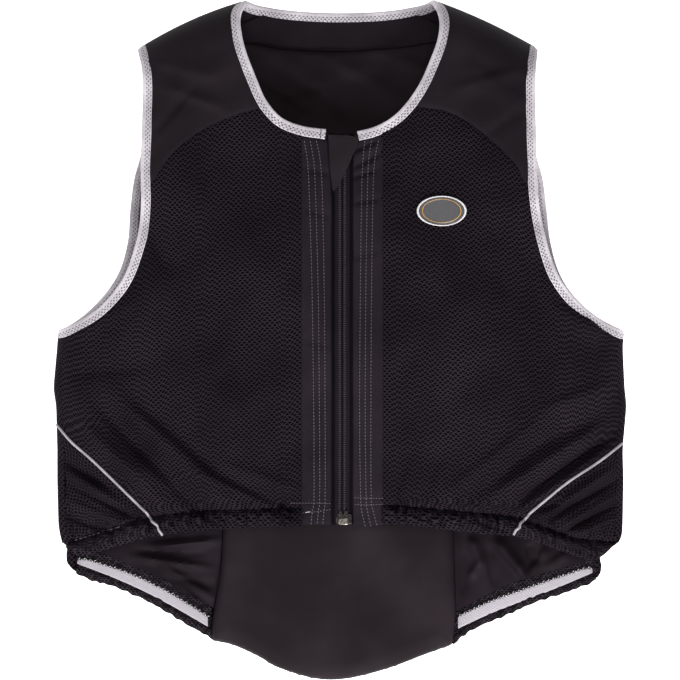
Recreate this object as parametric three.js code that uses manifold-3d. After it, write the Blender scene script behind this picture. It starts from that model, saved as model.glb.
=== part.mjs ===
// A sleeveless riding vest with a padded back panel, closed at the front, lying on its back on a surface.
// X runs across the vest, Y from the tail of the back up to the neck, Z up from the surface. Millimetres.
// Seams and edges are written as shares: across is a share of HALF_WIDTH out from the zip line, along is a
// share of LENGTH up from the tip of the tail. Left and right are as the viewer sees them.

import * as THREE from "three";
import { mergeVertices } from "three/addons/utils/BufferGeometryUtils.js";
import Module from "manifold-3d";

const wasm = await Module();
wasm.setup();

// Overall sizes
const HALF_WIDTH = 244;
const LENGTH = 583;
const CHEST_HOLLOW = 31;
const FOLD_HEIGHT = 9;
const FOLD_RADIUS = 14;
const SHOULDER_RADIUS = 32;

// Walls and small parts
const GAP = 0.3;
const FRONT_WALL = 3;
const SHELL_WALL = 2;
const LINING_WALL = 1.2;
const PAD_THICKNESS = 14;
const PAD_EDGE_THICKNESS = 4;
const PAD_EDGE_ROUND = 16;
const PAD_TOP_TAPER = 60;
const BAND_WALL = 1.6;
const GRIPPER_WALL = 0.9;
const BAND_END = 3;
const BINDING_WIDTH = 8;
const BINDING_LIFT = 0.7;
const PLACKET_LIFT = 0.6;
const PIPING_RADIUS = 1.3;
const PIPING_LIFT = 0.6;
const GATHER_PITCH = 15;
const GATHER_DEPTH = 1.3;
const SIDE_WRAP = 6;

// Zip and badge
const ZIP_TAPE_LEFT = 7.6;
const ZIP_TAPE_RIGHT = 9.6;
const ZIP_TAPE_WALL = 1.2;
const ZIP_TAPE_SINK = 1.6;
const ZIP_CHAIN_WIDTH = 6.4;
const ZIP_CHAIN_WALL = 1.5;
const ZIP_CENTRE = 1;
const ZIP_BOX_WIDTH = 12;
const ZIP_BOX_LENGTH = 12;
const ZIP_BOX_WALL = 2.8;
const ZIP_SLIDER_WIDTH = 8;
const ZIP_SLIDER_LENGTH = 13;
const GARAGE_WALL = 1.2;
const PLACKET_WIDTH = 25.5;
const BADGE_WIDTH = 42.6;
const BADGE_HEIGHT = 26;
const BADGE_WALL = 1.2;

const PAD_TOP = SHELL_WALL + GAP + PAD_THICKNESS;
const HALF_GAP = GAP / 2;
const FAR = HALF_WIDTH + LENGTH;

// How many straight steps a curved seam is made of
const SEAM_STEPS = 14;
const NECK_STEPS = 18;
const ARMHOLE_STEPS = 22;
const HEM_STEPS = 15;
const PAD_STEPS = 56;
const PAD_RIM_STEPS = 240;
const BADGE_STEPS = 24;
const PIPING_STEPS = 20;
const PIPING_SIDES = 6;
const GRIPPER_STEPS = 10;

// Cross-sections up the vest. left and right: reach of the side fold, as shares of HALF_WIDTH; hollow: height
// of the inside, as a share of CHEST_HOLLOW; fold and rear: height of the side fold as the front and the back
// come to it, as shares of FOLD_HEIGHT; full: how square-shouldered the front's arch is.
const SECTIONS = [
  { along: 0.0, left: 0.99, right: 0.955, hollow: 0.1, fold: 0.1, rear: 0, full: -0.6 },
  { along: 0.146, left: 0.99, right: 0.955, hollow: 0.12, fold: 0.15, rear: 0, full: -0.6 },
  { along: 0.176, left: 0.985, right: 0.955, hollow: 0.15, fold: 0.8, rear: 0, full: -0.55 },
  { along: 0.188, left: 0.98, right: 0.955, hollow: 0.17, fold: 0.92, rear: 0.3, full: -0.5 },
  { along: 0.198, left: 0.98, right: 0.975, hollow: 0.22, fold: 1.0, rear: 0.65, full: -0.45 },
  { along: 0.208, left: 0.989, right: 0.991, hollow: 0.26, fold: 1.0, rear: 1, full: -0.4 },
  { along: 0.227, left: 0.996, right: 0.993, hollow: 0.31, fold: 1.0, rear: 1, full: -0.3 },
  { along: 0.294, left: 1.0, right: 0.996, hollow: 0.5, fold: 1.0, rear: 1, full: 0.0 },
  { along: 0.338, left: 1.0, right: 0.993, hollow: 0.6, fold: 1.0, rear: 1, full: 0.15 },
  { along: 0.405, left: 1.004, right: 1.007, hollow: 0.8, fold: 1.0, rear: 1, full: 0.3 },
  { along: 0.427, left: 1.014, right: 1.0, hollow: 0.85, fold: 1.0, rear: 1, full: 0.32 },
  { along: 0.493, left: 1.0, right: 0.993, hollow: 0.96, fold: 1.0, rear: 1, full: 0.35 },
  { along: 0.516, left: 0.996, right: 1.0, hollow: 0.98, fold: 1.0, rear: 1, full: 0.35 },
  { along: 0.56, left: 1.0, right: 1.0, hollow: 1.0, fold: 1.0, rear: 1, full: 0.35 },
  { along: 0.7, left: 1.0, right: 1.0, hollow: 1.0, fold: 1.0, rear: 1, full: 0.35 },
  { along: 0.8, left: 1.0, right: 1.0, hollow: 0.92, fold: 1.0, rear: 1, full: 0.35 },
  { along: 1.0, left: 1.0, right: 1.0, hollow: 0.6, fold: 1.0, rear: 1, full: 0.3 },
];

// Soft ridges in the front, each a straight fold that dies away at its ends. fromAcross to toAlong: its line;
// width and height: shares of HALF_WIDTH and of CHEST_HOLLOW.
const FRONT_FOLDS = [
  { fromAcross: -0.92, fromAlong: 0.345, toAcross: -0.36, toAlong: 0.255, width: 0.05, height: 0.13 },
  { fromAcross: -0.95, fromAlong: 0.41, toAcross: -0.45, toAlong: 0.315, width: 0.06, height: 0.08 },
  { fromAcross: -0.93, fromAlong: 0.3, toAcross: -0.72, toAlong: 0.215, width: 0.04, height: 0.09 },
  { fromAcross: 0.96, fromAlong: 0.3, toAcross: 0.64, toAlong: 0.225, width: 0.045, height: 0.12 },
  { fromAcross: 0.93, fromAlong: 0.37, toAcross: 0.45, toAlong: 0.27, width: 0.055, height: 0.09 },
  { fromAcross: 0.95, fromAlong: 0.45, toAcross: 0.6, toAlong: 0.37, width: 0.06, height: 0.06 },
  { fromAcross: -0.6, fromAlong: 0.86, toAcross: -0.42, toAlong: 0.9, width: 0.04, height: 0.05 },
  { fromAcross: 0.62, fromAlong: 0.85, toAcross: 0.44, toAlong: 0.9, width: 0.04, height: 0.05 },
];

// Shoulder crests: from the neck point out to the tip, and how far the crest bows up between them.
const SHOULDERS = {
  left: { neckAcross: 0.342, neckAlong: 1.0, tipAcross: 0.718, tipAlong: 0.929, bow: 0.007 },
  right: { neckAcross: 0.335, neckAlong: 1.0, tipAcross: 0.697, tipAlong: 0.929, bow: 0.0045 },
};

// Edges and seams, as rows of [across, along]. The first and last rows of an open line lie past the vest.
const NECK_EDGE = {
  left: [[0.327, 1.027], [0.335, 1.0], [0.352, 0.985], [0.356, 0.965], [0.345, 0.938], [0.324, 0.911],
    [0.296, 0.882], [0.264, 0.852], [0.211, 0.826], [0.137, 0.813], [0.053, 0.808]],
  right: [[0.327, 1.027], [0.327, 1.0], [0.342, 0.985], [0.349, 0.965], [0.338, 0.938], [0.313, 0.91],
    [0.278, 0.877], [0.232, 0.848], [0.18, 0.826], [0.12, 0.812], [0.056, 0.805]],
};
const BACK_NECK_EDGE = [[-0.356, 1.021], [-0.335, 1.001], [-0.25, 0.99], [-0.134, 0.984], [0.0, 0.982],
  [0.137, 0.984], [0.243, 0.99], [0.317, 1.0], [0.338, 1.021]];
const FRONT_ARMHOLE = {
  left: [[0.729, 0.959], [0.718, 0.932], [0.697, 0.897], [0.694, 0.855], [0.697, 0.804], [0.701, 0.752],
    [0.699, 0.7], [0.708, 0.66], [0.729, 0.626], [0.761, 0.592], [0.81, 0.563], [0.873, 0.539],
    [0.937, 0.524], [1.0, 0.514], [1.13, 0.505]],
  right: [[0.704, 0.959], [0.694, 0.932], [0.683, 0.897], [0.68, 0.855], [0.683, 0.796], [0.687, 0.737],
    [0.694, 0.697], [0.711, 0.66], [0.732, 0.626], [0.764, 0.592], [0.82, 0.561], [0.884, 0.538],
    [0.94, 0.523], [1.004, 0.513], [1.123, 0.504]],
};
const BACK_ARMHOLE = {
  left: [[0.729, 0.959], [0.718, 0.932], [0.687, 0.888], [0.683, 0.838], [0.701, 0.781], [0.729, 0.737],
    [0.743, 0.69], [0.75, 0.648], [0.775, 0.607], [0.813, 0.578], [0.866, 0.552], [0.926, 0.53],
    [1.0, 0.514], [1.13, 0.505]],
  right: [[0.704, 0.959], [0.694, 0.932], [0.673, 0.888], [0.669, 0.838], [0.683, 0.781], [0.711, 0.737],
    [0.725, 0.69], [0.736, 0.648], [0.761, 0.607], [0.796, 0.578], [0.842, 0.555], [0.905, 0.533],
    [1.004, 0.513], [1.123, 0.504]],
};
const YOKE_SEAM = {
  left: [[1.2, 0.733], [0.72, 0.733], [0.658, 0.735], [0.627, 0.755], [0.567, 0.783], [0.482, 0.809],
    [0.391, 0.826], [0.299, 0.838], [0.144, 0.849]],
  right: [[1.2, 0.727], [0.72, 0.727], [0.65, 0.73], [0.616, 0.755], [0.56, 0.78], [0.479, 0.809],
    [0.384, 0.833], [0.285, 0.841], [0.137, 0.849]],
};
const BACK_YOKE_SEAM = [[-1.2, 0.76], [-0.69, 0.772], [-0.4, 0.806], [0.0, 0.82], [0.4, 0.806],
  [0.69, 0.772], [1.2, 0.76]];
const PIPING = {
  left: [[1.018, 0.383], [0.989, 0.37], [0.947, 0.35], [0.873, 0.323], [0.743, 0.27], [0.676, 0.242],
    [0.627, 0.213]],
  right: [[1.025, 0.359], [0.996, 0.35], [0.912, 0.323], [0.799, 0.292], [0.722, 0.266], [0.658, 0.242],
    [0.607, 0.214]],
};
const HEM_SEAM = {
  left: [[0.011, 0.256], [0.127, 0.253], [0.32, 0.25], [0.496, 0.247], [0.655, 0.239], [0.775, 0.225],
    [0.884, 0.211], [0.968, 0.199], [1.06, 0.194]],
  right: [[0.011, 0.258], [0.141, 0.257], [0.313, 0.251], [0.489, 0.244], [0.613, 0.238], [0.718, 0.223],
    [0.824, 0.208], [0.937, 0.202], [1.053, 0.201]],
};
const HEM_EDGE = {
  left: [[0.011, 0.225], [0.18, 0.225], [0.415, 0.222], [0.62, 0.213], [0.711, 0.205], [0.803, 0.194],
    [0.891, 0.182], [0.968, 0.176], [1.06, 0.173]],
  right: [[0.011, 0.226], [0.165, 0.229], [0.271, 0.226], [0.401, 0.219], [0.532, 0.213], [0.609, 0.211],
    [0.708, 0.199], [0.799, 0.185], [0.877, 0.174], [0.954, 0.173], [1.053, 0.173]],
};
const BACK_HEM_EDGE = {
  left: [[1.06, 0.204], [0.985, 0.201], [0.966, 0.195], [0.967, 0.186], [0.965, 0.171], [0.937, 0.158],
    [0.873, 0.146], [0.796, 0.137], [0.665, 0.112], [0.553, 0.084], [0.455, 0.061]],
  right: [[1.053, 0.203], [0.965, 0.2], [0.93, 0.19], [0.914, 0.179], [0.919, 0.165], [0.901, 0.148],
    [0.806, 0.131], [0.683, 0.114], [0.592, 0.097], [0.468, 0.075], [0.394, 0.052]],
};
const BAND_SEAM = {
  left: [[1.06, 0.192], [0.919, 0.192], [0.835, 0.185], [0.743, 0.168], [0.627, 0.148], [0.553, 0.129],
    [0.43, 0.1], [0.2, 0.03]],
  right: [[1.053, 0.182], [0.93, 0.18], [0.806, 0.167], [0.729, 0.158], [0.592, 0.14], [0.454, 0.111],
    [0.38, 0.094], [0.2, 0.05]],
};
const GRIPPER = {
  left: {
    top: [[0.93, 0.179], [0.819, 0.165], [0.743, 0.154], [0.627, 0.131], [0.514, 0.103], [0.464, 0.089]],
    low: [[0.933, 0.17], [0.819, 0.152], [0.704, 0.131], [0.59, 0.106], [0.47, 0.077]],
  },
  right: {
    top: [[0.887, 0.164], [0.761, 0.148], [0.644, 0.131], [0.532, 0.114], [0.413, 0.091]],
    low: [[0.891, 0.157], [0.761, 0.134], [0.644, 0.115], [0.532, 0.097], [0.413, 0.074]],
  },
};
const PAD_OUTLINE = [[0.394, 0.05], [0.405, 0.097], [0.401, 0.161], [0.398, 0.222], [0.401, 0.353],
  [0.412, 0.56], [0.426, 0.767], [0.408, 0.87], [0.377, 0.936], [0.19, 0.931], [0.0, 0.926], [-0.197, 0.929],
  [-0.384, 0.935], [-0.426, 0.87], [-0.444, 0.767], [-0.426, 0.56], [-0.415, 0.353], [-0.419, 0.219],
  [-0.426, 0.161], [-0.447, 0.106], [-0.458, 0.061], [-0.437, 0.055], [-0.384, 0.05], [-0.299, 0.035],
  [-0.208, 0.018], [-0.081, 0.001], [0.014, 0.001], [0.148, 0.016], [0.303, 0.037]];
const GARAGE_OUTLINE = [[-0.046, 0.801], [0.056, 0.795], [0.035, 0.764], [0.011, 0.743], [-0.007, 0.727],
  [-0.018, 0.722], [-0.032, 0.724]];
const BADGE_PLACE = { across: 0.355, along: 0.691 };
const PLACKET_FOOT_ALONG = 0.228;
const HEM_CORNER_ALONG = 0.176;
const UNDERARM_ALONG = 0.56;
const PAD_TOP_ALONG = 0.936;
const FACING_ACROSS = 0.4;
const FACING_FOOT_ALONG = 0.88;
const ZIP_TOP_ALONG = 0.792;

const SIGN = { left: -1, right: 1 };

function clamp(value, low, high) {
  return Math.min(Math.max(value, low), high);
}

// The value of one column of SECTIONS at a height up the vest, by straight steps between its rows.
function sectionValue(column, along) {
  const place = clamp(along, SECTIONS[0].along, SECTIONS.at(-1).along);
  const upper = Math.max(SECTIONS.findIndex((row) => row.along >= place), 1);
  const low = SECTIONS[upper - 1];
  const high = SECTIONS[upper];
  return THREE.MathUtils.mapLinear(place, low.along, high.along, low[column], high[column]);
}

function alongOf(y) {
  return y / LENGTH + 0.5;
}

function point([across, along], sign = 1) {
  return new THREE.Vector2(sign * across * HALF_WIDTH, (along - 0.5) * LENGTH);
}

// How far out the side fold lies from the zip line.
function reach(x, y) {
  const side = x < 0 ? "left" : "right";
  return HALF_WIDTH * sectionValue(side, alongOf(y));
}

// The height of the side fold as the front or the back comes to it.
function foldHeight(column, y) {
  return FOLD_HEIGHT * sectionValue(column, alongOf(y));
}

// The height on the page of the shoulder crest above a place across the vest.
function crest(x) {
  const row = x < 0 ? SHOULDERS.left : SHOULDERS.right;
  const share = (Math.abs(x) / HALF_WIDTH - row.neckAcross) / (row.tipAcross - row.neckAcross);
  const bow = row.bow * 4 * clamp(share, 0, 1) * (1 - clamp(share, 0, 1));
  const along = row.neckAlong + (row.tipAlong - row.neckAlong) * share + bow;
  return (along - 0.5) * LENGTH;
}

function smooth(value) {
  const share = clamp(value, 0, 1);
  return share * share * (3 - 2 * share);
}

// The lift of all soft ridges at a place on the front.
function foldRelief(x, y) {
  let lift = 0;
  for (const fold of FRONT_FOLDS) {
    const start = point([fold.fromAcross, fold.fromAlong]);
    const end = point([fold.toAcross, fold.toAlong]);
    const line = end.clone().sub(start);
    const place = new THREE.Vector2(x, y).sub(start);
    const share = place.dot(line) / line.lengthSq();
    const aside = Math.abs(place.cross(line)) / line.length();
    const width = fold.width * HALF_WIDTH;
    const ends = smooth((share + 0.25) / 0.5) * smooth((1.25 - share) / 0.5);
    lift += fold.height * CHEST_HOLLOW * ends * Math.exp(-((aside / width) ** 2));
  }
  return lift;
}

// Height of the front's outer face: an arch from side fold to side fold that closes at the shoulder crests.
function frontHeight(x, y) {
  const across = clamp(Math.abs(x) / reach(x, y), 0, 1);
  const cosine = Math.sqrt(1 - across * across);
  const arch = cosine * (1 + sectionValue("full", alongOf(y)) * (1 - cosine));
  const near = clamp((crest(x) - y) / SHOULDER_RADIUS, 0, 1);
  const closing = Math.sqrt(1 - (1 - near) ** 2);
  const crown = PAD_TOP + CHEST_HOLLOW * sectionValue("hollow", alongOf(y)) + FRONT_WALL;
  const fold = foldHeight("fold", y);
  const folds = foldRelief(x, y) * Math.min(2 * cosine, 1);
  return fold + HALF_GAP * (1 - closing) + ((crown - fold) * arch + folds) * closing;
}

// Height of the back's outer face: flat on the surface, turned up at the side folds and the shoulder crests.
function backHeight(x, y) {
  const fold = foldHeight("rear", y);
  const nearSide = clamp(1 - (reach(x, y) - Math.abs(x)) / FOLD_RADIUS, 0, 1);
  const nearCrest = clamp(1 - (crest(x) - y) / FOLD_RADIUS, 0, 1);
  const near = Math.min(Math.hypot(nearSide, nearCrest), 1);
  return (fold - HALF_GAP * nearCrest) * (1 - Math.sqrt(1 - near * near));
}

// A point on the outer face. turn: angle round the body, 0 at the zip line or the back's middle and a quarter
// turn at the side fold; rise: 0 at the low end, 1 where the shoulder starts to turn over, 2 at its crest.
function skinPoint(isFront, turn, rise, lowY, relief) {
  const flatX = HALF_WIDTH * Math.sin(turn);
  const radius = isFront ? SHOULDER_RADIUS : FOLD_RADIUS;
  const shoulder = crest(flatX) - radius;
  const over = clamp(rise - 1, 0, 1) * (Math.PI / 2);
  const y = lowY + (shoulder - lowY) * Math.min(rise, 1) + radius * Math.sin(over);
  const x = reach(flatX, y) * Math.sin(turn);
  const wrapped = Math.abs(turn) > Math.PI / 2;
  const height = isFront || wrapped ? frontHeight(x, y) : backHeight(x, y);
  return new THREE.Vector3(x, y, height + relief(x, y));
}

const NO_RELIEF = () => 0;

// A closed slab that follows the front or the back between two offsets from its outer face.
function slab({ front = true, turns, rises, lowAlong, from, to, relief = NO_RELIEF }) {
  const lowY = (lowAlong - 0.5) * LENGTH;
  const step = 0.002;
  const outer = [];
  const inner = [];
  for (const rise of rises) {
    for (const turn of turns) {
      const at = (moreTurn, moreRise) => skinPoint(front, turn + moreTurn, rise + moreRise, lowY, relief);
      const below = rise > 2 - step ? -2 * step : -step;
      const eastward = at(step, 0).sub(at(-step, 0));
      const northward = at(0, Math.min(step, 2 - rise)).sub(at(0, below));
      const normal = eastward.cross(northward).normalize();
      if (!front) normal.negate();
      const place = at(0, 0);
      outer.push(place.clone().addScaledVector(normal, to));
      inner.push(place.clone().addScaledVector(normal, from));
    }
  }
  const [top, bottom] = front ? [outer, inner] : [inner, outer];
  return closedGrid(top, bottom, turns.length, rises.length);
}

// A closed solid between an upper and a lower grid of points, given row by row.
function closedGrid(top, bottom, columns, rows) {
  const points = [...top, ...bottom];
  const under = top.length;
  const faces = [];
  const quad = (a, b, c, d) => faces.push([a, b, c], [a, c, d]);
  for (let row = 0; row < rows - 1; row++) {
    for (let column = 0; column < columns - 1; column++) {
      const corner = row * columns + column;
      const above = corner + columns;
      quad(corner, corner + 1, above + 1, above);
      quad(under + corner, under + above, under + above + 1, under + corner + 1);
    }
  }
  const rim = [];
  for (let column = 0; column < columns - 1; column++) rim.push(column);
  for (let row = 0; row < rows - 1; row++) rim.push(row * columns + columns - 1);
  for (let column = columns - 1; column > 0; column--) rim.push((rows - 1) * columns + column);
  for (let row = rows - 1; row > 0; row--) rim.push(row * columns);
  rim.forEach((here, index) => {
    const next = rim[(index + 1) % rim.length];
    quad(here, under + here, under + next, next);
  });
  const positions = points.flatMap((place) => [place.x, place.y, place.z]);
  return new wasm.Manifold(new wasm.Mesh({
    numProp: 3,
    vertProperties: new Float32Array(positions),
    triVerts: new Uint32Array(faces.flat()),
  }));
}

function solidOf(geometry) {
  geometry.deleteAttribute("normal");
  geometry.deleteAttribute("uv");
  const merged = mergeVertices(geometry, 1e-4);
  return new wasm.Manifold(new wasm.Mesh({
    numProp: 3,
    vertProperties: merged.attributes.position.array,
    triVerts: new Uint32Array(merged.index.array),
  }));
}

// An upright prism on a closed outline, from one height to another.
function prism(outline, low = -FAR, high = FAR) {
  const settings = { depth: high - low, bevelEnabled: false };
  const geometry = new THREE.ExtrudeGeometry(new THREE.Shape(outline), settings);
  geometry.translate(0, 0, low);
  return solidOf(geometry);
}

function line(rows, sign, steps) {
  return new THREE.SplineCurve(rows.map((row) => point(row, sign))).getPoints(steps);
}

// The line moved sideways, to the left of its own direction.
function shifted(points, distance) {
  return points.map((place, index) => {
    const before = points[Math.max(index - 1, 0)];
    const after = points[Math.min(index + 1, points.length - 1)];
    const ahead = after.clone().sub(before).normalize();
    return new THREE.Vector2(place.x - ahead.y * distance, place.y + ahead.x * distance);
  });
}

function corners(pairs) {
  return pairs.map(([x, y]) => new THREE.Vector2(x, y));
}

// Regions of the page, as prisms. margin moves a region's seam outwards, and a negative one inwards.
function neckHole(margin) {
  const left = line(NECK_EDGE.left, -1, NECK_STEPS);
  const right = line(NECK_EDGE.right, 1, NECK_STEPS).reverse();
  const edge = shifted([...left, ...right], -margin);
  return prism([...edge, ...corners([[edge.at(-1).x, FAR], [edge[0].x, FAR]])]);
}

function backNeckHole(margin) {
  const edge = shifted(line(BACK_NECK_EDGE, 1, NECK_STEPS), -margin);
  return prism([...edge, ...corners([[edge.at(-1).x, FAR], [edge[0].x, FAR]])]);
}

function armhole(table, side, margin) {
  const sign = SIGN[side];
  const edge = shifted(line(table[side], sign, ARMHOLE_STEPS), sign * -margin);
  return prism([...edge, ...corners([[sign * FAR, edge.at(-1).y], [sign * FAR, FAR], [edge[0].x, FAR]])]);
}

function aboveLine(rows, sign, margin) {
  const moved = line(rows, sign, SEAM_STEPS).map((place) => new THREE.Vector2(place.x, place.y - margin));
  return prism([...moved, ...corners([[moved.at(-1).x, FAR], [moved[0].x, FAR]])]);
}

function belowLine(rows, sign, margin) {
  const moved = line(rows, sign, SEAM_STEPS).map((place) => new THREE.Vector2(place.x, place.y + margin));
  return prism([...moved, ...corners([[moved.at(-1).x, -FAR], [moved[0].x, -FAR]])]);
}

function columnBetween(lowX, highX, lowY = -FAR, highY = FAR) {
  return prism(corners([[lowX, lowY], [highX, lowY], [highX, highY], [lowX, highY]]));
}

// The ground left of or right of the zip line's plackets, inside the side seam.
function betweenPlacketAndSide(side, margin) {
  const sign = SIGN[side];
  const placket = sign * (placketInner(side) + PLACKET_WIDTH);
  const seam = [];
  for (const { along } of SECTIONS) {
    const y = (along - 0.5) * LENGTH;
    seam.push(new THREE.Vector2(sign * (reach(sign, y) - SIDE_WRAP - margin), y));
  }
  seam.push(new THREE.Vector2(seam.at(-1).x, FAR));
  seam.unshift(new THREE.Vector2(seam[0].x, -FAR));
  return prism([...seam, ...corners([[placket + sign * margin, FAR], [placket + sign * margin, -FAR]])]);
}

function placketInner(side) {
  return (side === "left" ? ZIP_TAPE_LEFT : ZIP_TAPE_RIGHT) + GAP;
}

// The front inside both side seams as far up as the underarm, above the back's own wall: what the back's wrap
// leaves free.
function frontField() {
  const left = [];
  const right = [];
  for (const { along } of SECTIONS.filter((row) => row.along <= UNDERARM_ALONG)) {
    const y = (along - 0.5) * LENGTH;
    left.unshift(new THREE.Vector2(-(reach(-1, y) - SIDE_WRAP), y));
    right.push(new THREE.Vector2(reach(1, y) - SIDE_WRAP, y));
  }
  return prism([...right, ...left], SHELL_WALL + FOLD_HEIGHT / 4, FAR);
}

function insideBackHem() {
  const left = line(BACK_HEM_EDGE.left, -1, HEM_STEPS);
  const right = line(BACK_HEM_EDGE.right, 1, HEM_STEPS).reverse();
  const tail = line([...PAD_OUTLINE.slice(-9), PAD_OUTLINE[0]], 1, HEM_STEPS);
  const edge = [...left, ...tail.slice(1, -1), ...right];
  return prism([...edge, ...corners([[edge.at(-1).x, FAR], [edge[0].x, FAR]])]);
}

const padCurve = new THREE.SplineCurve([...PAD_OUTLINE, PAD_OUTLINE[0]].map((row) => point(row)));

function insidePad(margin) {
  const outline = padCurve.getPoints(PAD_STEPS);
  outline.pop();
  const closed = outline.map((place, index) => {
    const before = outline[(index + outline.length - 1) % outline.length];
    const after = outline[(index + 1) % outline.length];
    const ahead = after.clone().sub(before).normalize();
    return new THREE.Vector2(place.x + ahead.y * margin, place.y - ahead.x * margin);
  });
  return prism(closed);
}

// The page below a slanting seam, out to the side and down past the hem.
function underSeam(rows, sign, margin) {
  const moved = shifted(line(rows, sign, SEAM_STEPS), -sign * margin);
  const far = corners([[moved.at(-1).x, -FAR], [sign * FAR, -FAR], [sign * FAR, moved[0].y]]);
  return prism([...moved, ...far]);
}

// Evenly spread stations from start to end.
function stations(start, end, steps) {
  return Array.from({ length: steps + 1 }, (_, index) => start + ((end - start) * index) / steps);
}

function mirrored(turns) {
  return turns.map((turn) => -turn).reverse();
}

// The turn round the body at a distance out from the zip line.
function turnAt(distance) {
  return Math.asin(clamp(distance / HALF_WIDTH, -1, 1));
}

// Turns listed for the right side, given for either side in rising order.
function turnsOf(side, list) {
  return side === "left" ? mirrored(list) : list;
}

const QUARTER = Math.PI / 2;
const CREST_RISES = [1.35, 1.7, 2];
const HEM_RISES = [0, 0.16, 0.185, 0.2, 0.215, 0.24];
const FOLD_TURNS = [-0.36, -0.22, -0.1, 0, 0.1, 0.2, 0.3].map((turn) => QUARTER + turn);
const WINDOW_MARGIN = 9;
const FRONT_LOW_ALONG = 0.2;
const HEM_LOW_ALONG = 0.16;
const BACK_LOW_ALONG = -0.01;
const ARMHOLE_LOW_RISE = 0.44;
const NECK_LOW_RISE = 0.7;
const SIDES = ["left", "right"];

const root = new THREE.Group();

function add(name, solid, material) {
  const mesh = solid.getMesh();
  const geometry = new THREE.BufferGeometry();
  geometry.setAttribute("position", new THREE.BufferAttribute(mesh.vertProperties, 3));
  geometry.setIndex(new THREE.BufferAttribute(mesh.triVerts, 1));
  geometry.computeVertexNormals();
  const node = new THREE.Mesh(geometry, new THREE.MeshStandardMaterial(material));
  node.name = name;
  root.add(node);
}

const MESH_CLOTH = { color: 0x1f1c20, roughness: 0.95, metalness: 0 };
const SMOOTH_CLOTH = { color: 0x242124, roughness: 0.8, metalness: 0 };
const LINING_CLOTH = { color: 0x201d21, roughness: 0.7, metalness: 0 };
const BINDING_CLOTH = { color: 0xc8c1c6, roughness: 0.85, metalness: 0 };
const GRIPPER_TAPE = { color: 0xc6bfc8, roughness: 0.6, metalness: 0 };
const PIPING_CORD = { color: 0xaaa4ab, roughness: 0.5, metalness: 0 };
const ZIP_BLACK = { color: 0x141316, roughness: 0.6, metalness: 0 };
const ZIP_METAL = { color: 0xb9b9bd, roughness: 0.3, metalness: 1 };
const BADGE_RUBBER = { color: 0x4b4a4e, roughness: 0.5, metalness: 0 };

const neckCloth = neckHole(BINDING_WIDTH + HALF_GAP);
const neckBand = neckHole(BINDING_WIDTH - HALF_GAP).subtract(neckHole(0));

// Front body, side panel, yoke and armhole binding of one side
function addFrontSide(side) {
  const sign = SIGN[side];
  const armCloth = armhole(FRONT_ARMHOLE, side, BINDING_WIDTH + HALF_GAP);
  const armBand = armhole(FRONT_ARMHOLE, side, BINDING_WIDTH - HALF_GAP)
    .subtract(armhole(FRONT_ARMHOLE, side, 0));
  const field = betweenPlacketAndSide(side, HALF_GAP);
  const groove = PIPING_RADIUS + GAP;
  const body = slab({
    turns: turnsOf(side, stations(turnAt(placketInner(side) + PLACKET_WIDTH - WINDOW_MARGIN), QUARTER, 12)),
    rises: [...stations(0, 0.4, 7), ...stations(0.5, 1, 4), ...CREST_RISES],
    lowAlong: FRONT_LOW_ALONG,
    from: -FRONT_WALL,
    to: 0,
  });
  const cloth = body.intersect(field).subtract(neckCloth).subtract(armCloth);
  add(`yoke_${side}`, cloth.intersect(aboveLine(YOKE_SEAM[side], sign, -HALF_GAP)), SMOOTH_CLOTH);
  const belowYoke = cloth
    .subtract(aboveLine(YOKE_SEAM[side], sign, HALF_GAP))
    .subtract(belowLine(HEM_SEAM[side], sign, HALF_GAP));
  add(`front_panel_${side}`, belowYoke.subtract(underSeam(PIPING[side], sign, groove)), MESH_CLOTH);
  add(`side_panel_${side}`, belowYoke.intersect(underSeam(PIPING[side], sign, -groove)), MESH_CLOTH);

  const bindingSlab = slab({
    turns: turnsOf(side, stations(turnAt(HALF_WIDTH / 2), QUARTER, 9)),
    rises: [...stations(ARMHOLE_LOW_RISE, 1, 5), ...CREST_RISES],
    lowAlong: FRONT_LOW_ALONG,
    from: -FRONT_WALL,
    to: BINDING_LIFT,
  });
  add(`armhole_binding_front_${side}`, bindingSlab.intersect(armBand).intersect(field), BINDING_CLOTH);
}

for (const side of SIDES) addFrontSide(side);

// Neck binding on the front, from each shoulder crest down to the zip
for (const side of SIDES) {
  const sign = SIGN[side];
  const neckReach = SHOULDERS[side].neckAcross * HALF_WIDTH + BINDING_WIDTH + 2 * WINDOW_MARGIN;
  const bindingSlab = slab({
    turns: turnsOf(side, stations(0, turnAt(neckReach), 4)),
    rises: [...stations(NECK_LOW_RISE, 1, 3), ...CREST_RISES],
    lowAlong: FRONT_LOW_ALONG,
    from: -FRONT_WALL,
    to: BINDING_LIFT,
  });
  const ends = [sign * NECK_EDGE[side].at(-1)[0] * HALF_WIDTH, sign * FAR].sort((a, b) => a - b);
  const binding = bindingSlab.intersect(neckBand).intersect(columnBetween(...ends));
  add(`neck_binding_${side}`, binding, BINDING_CLOTH);
}

// Piping: a thin cord in the slanting seam of each side, half sunk between the two panels
function pipingTube(side, radius) {
  const rows = PIPING[side].slice(1);
  const within = (place) => Math.abs(place.x) < reach(place.x, place.y) - SIDE_WRAP - PIPING_RADIUS - GAP;
  const route = line(rows, SIGN[side], PIPING_STEPS)
    .filter(within)
    .map((place) => new THREE.Vector3(place.x, place.y, frontHeight(place.x, place.y) + PIPING_LIFT));
  const outline = new THREE.EllipseCurve(0, 0, radius, radius).getPoints(PIPING_SIDES).slice(1);
  return solidOf(new THREE.ExtrudeGeometry(new THREE.Shape(outline), {
    steps: PIPING_STEPS,
    bevelEnabled: false,
    extrudePath: new THREE.CatmullRomCurve3(route),
  }));
}

for (const side of SIDES) add(`piping_${side}`, pipingTube(side, PIPING_RADIUS), PIPING_CORD);

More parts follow.
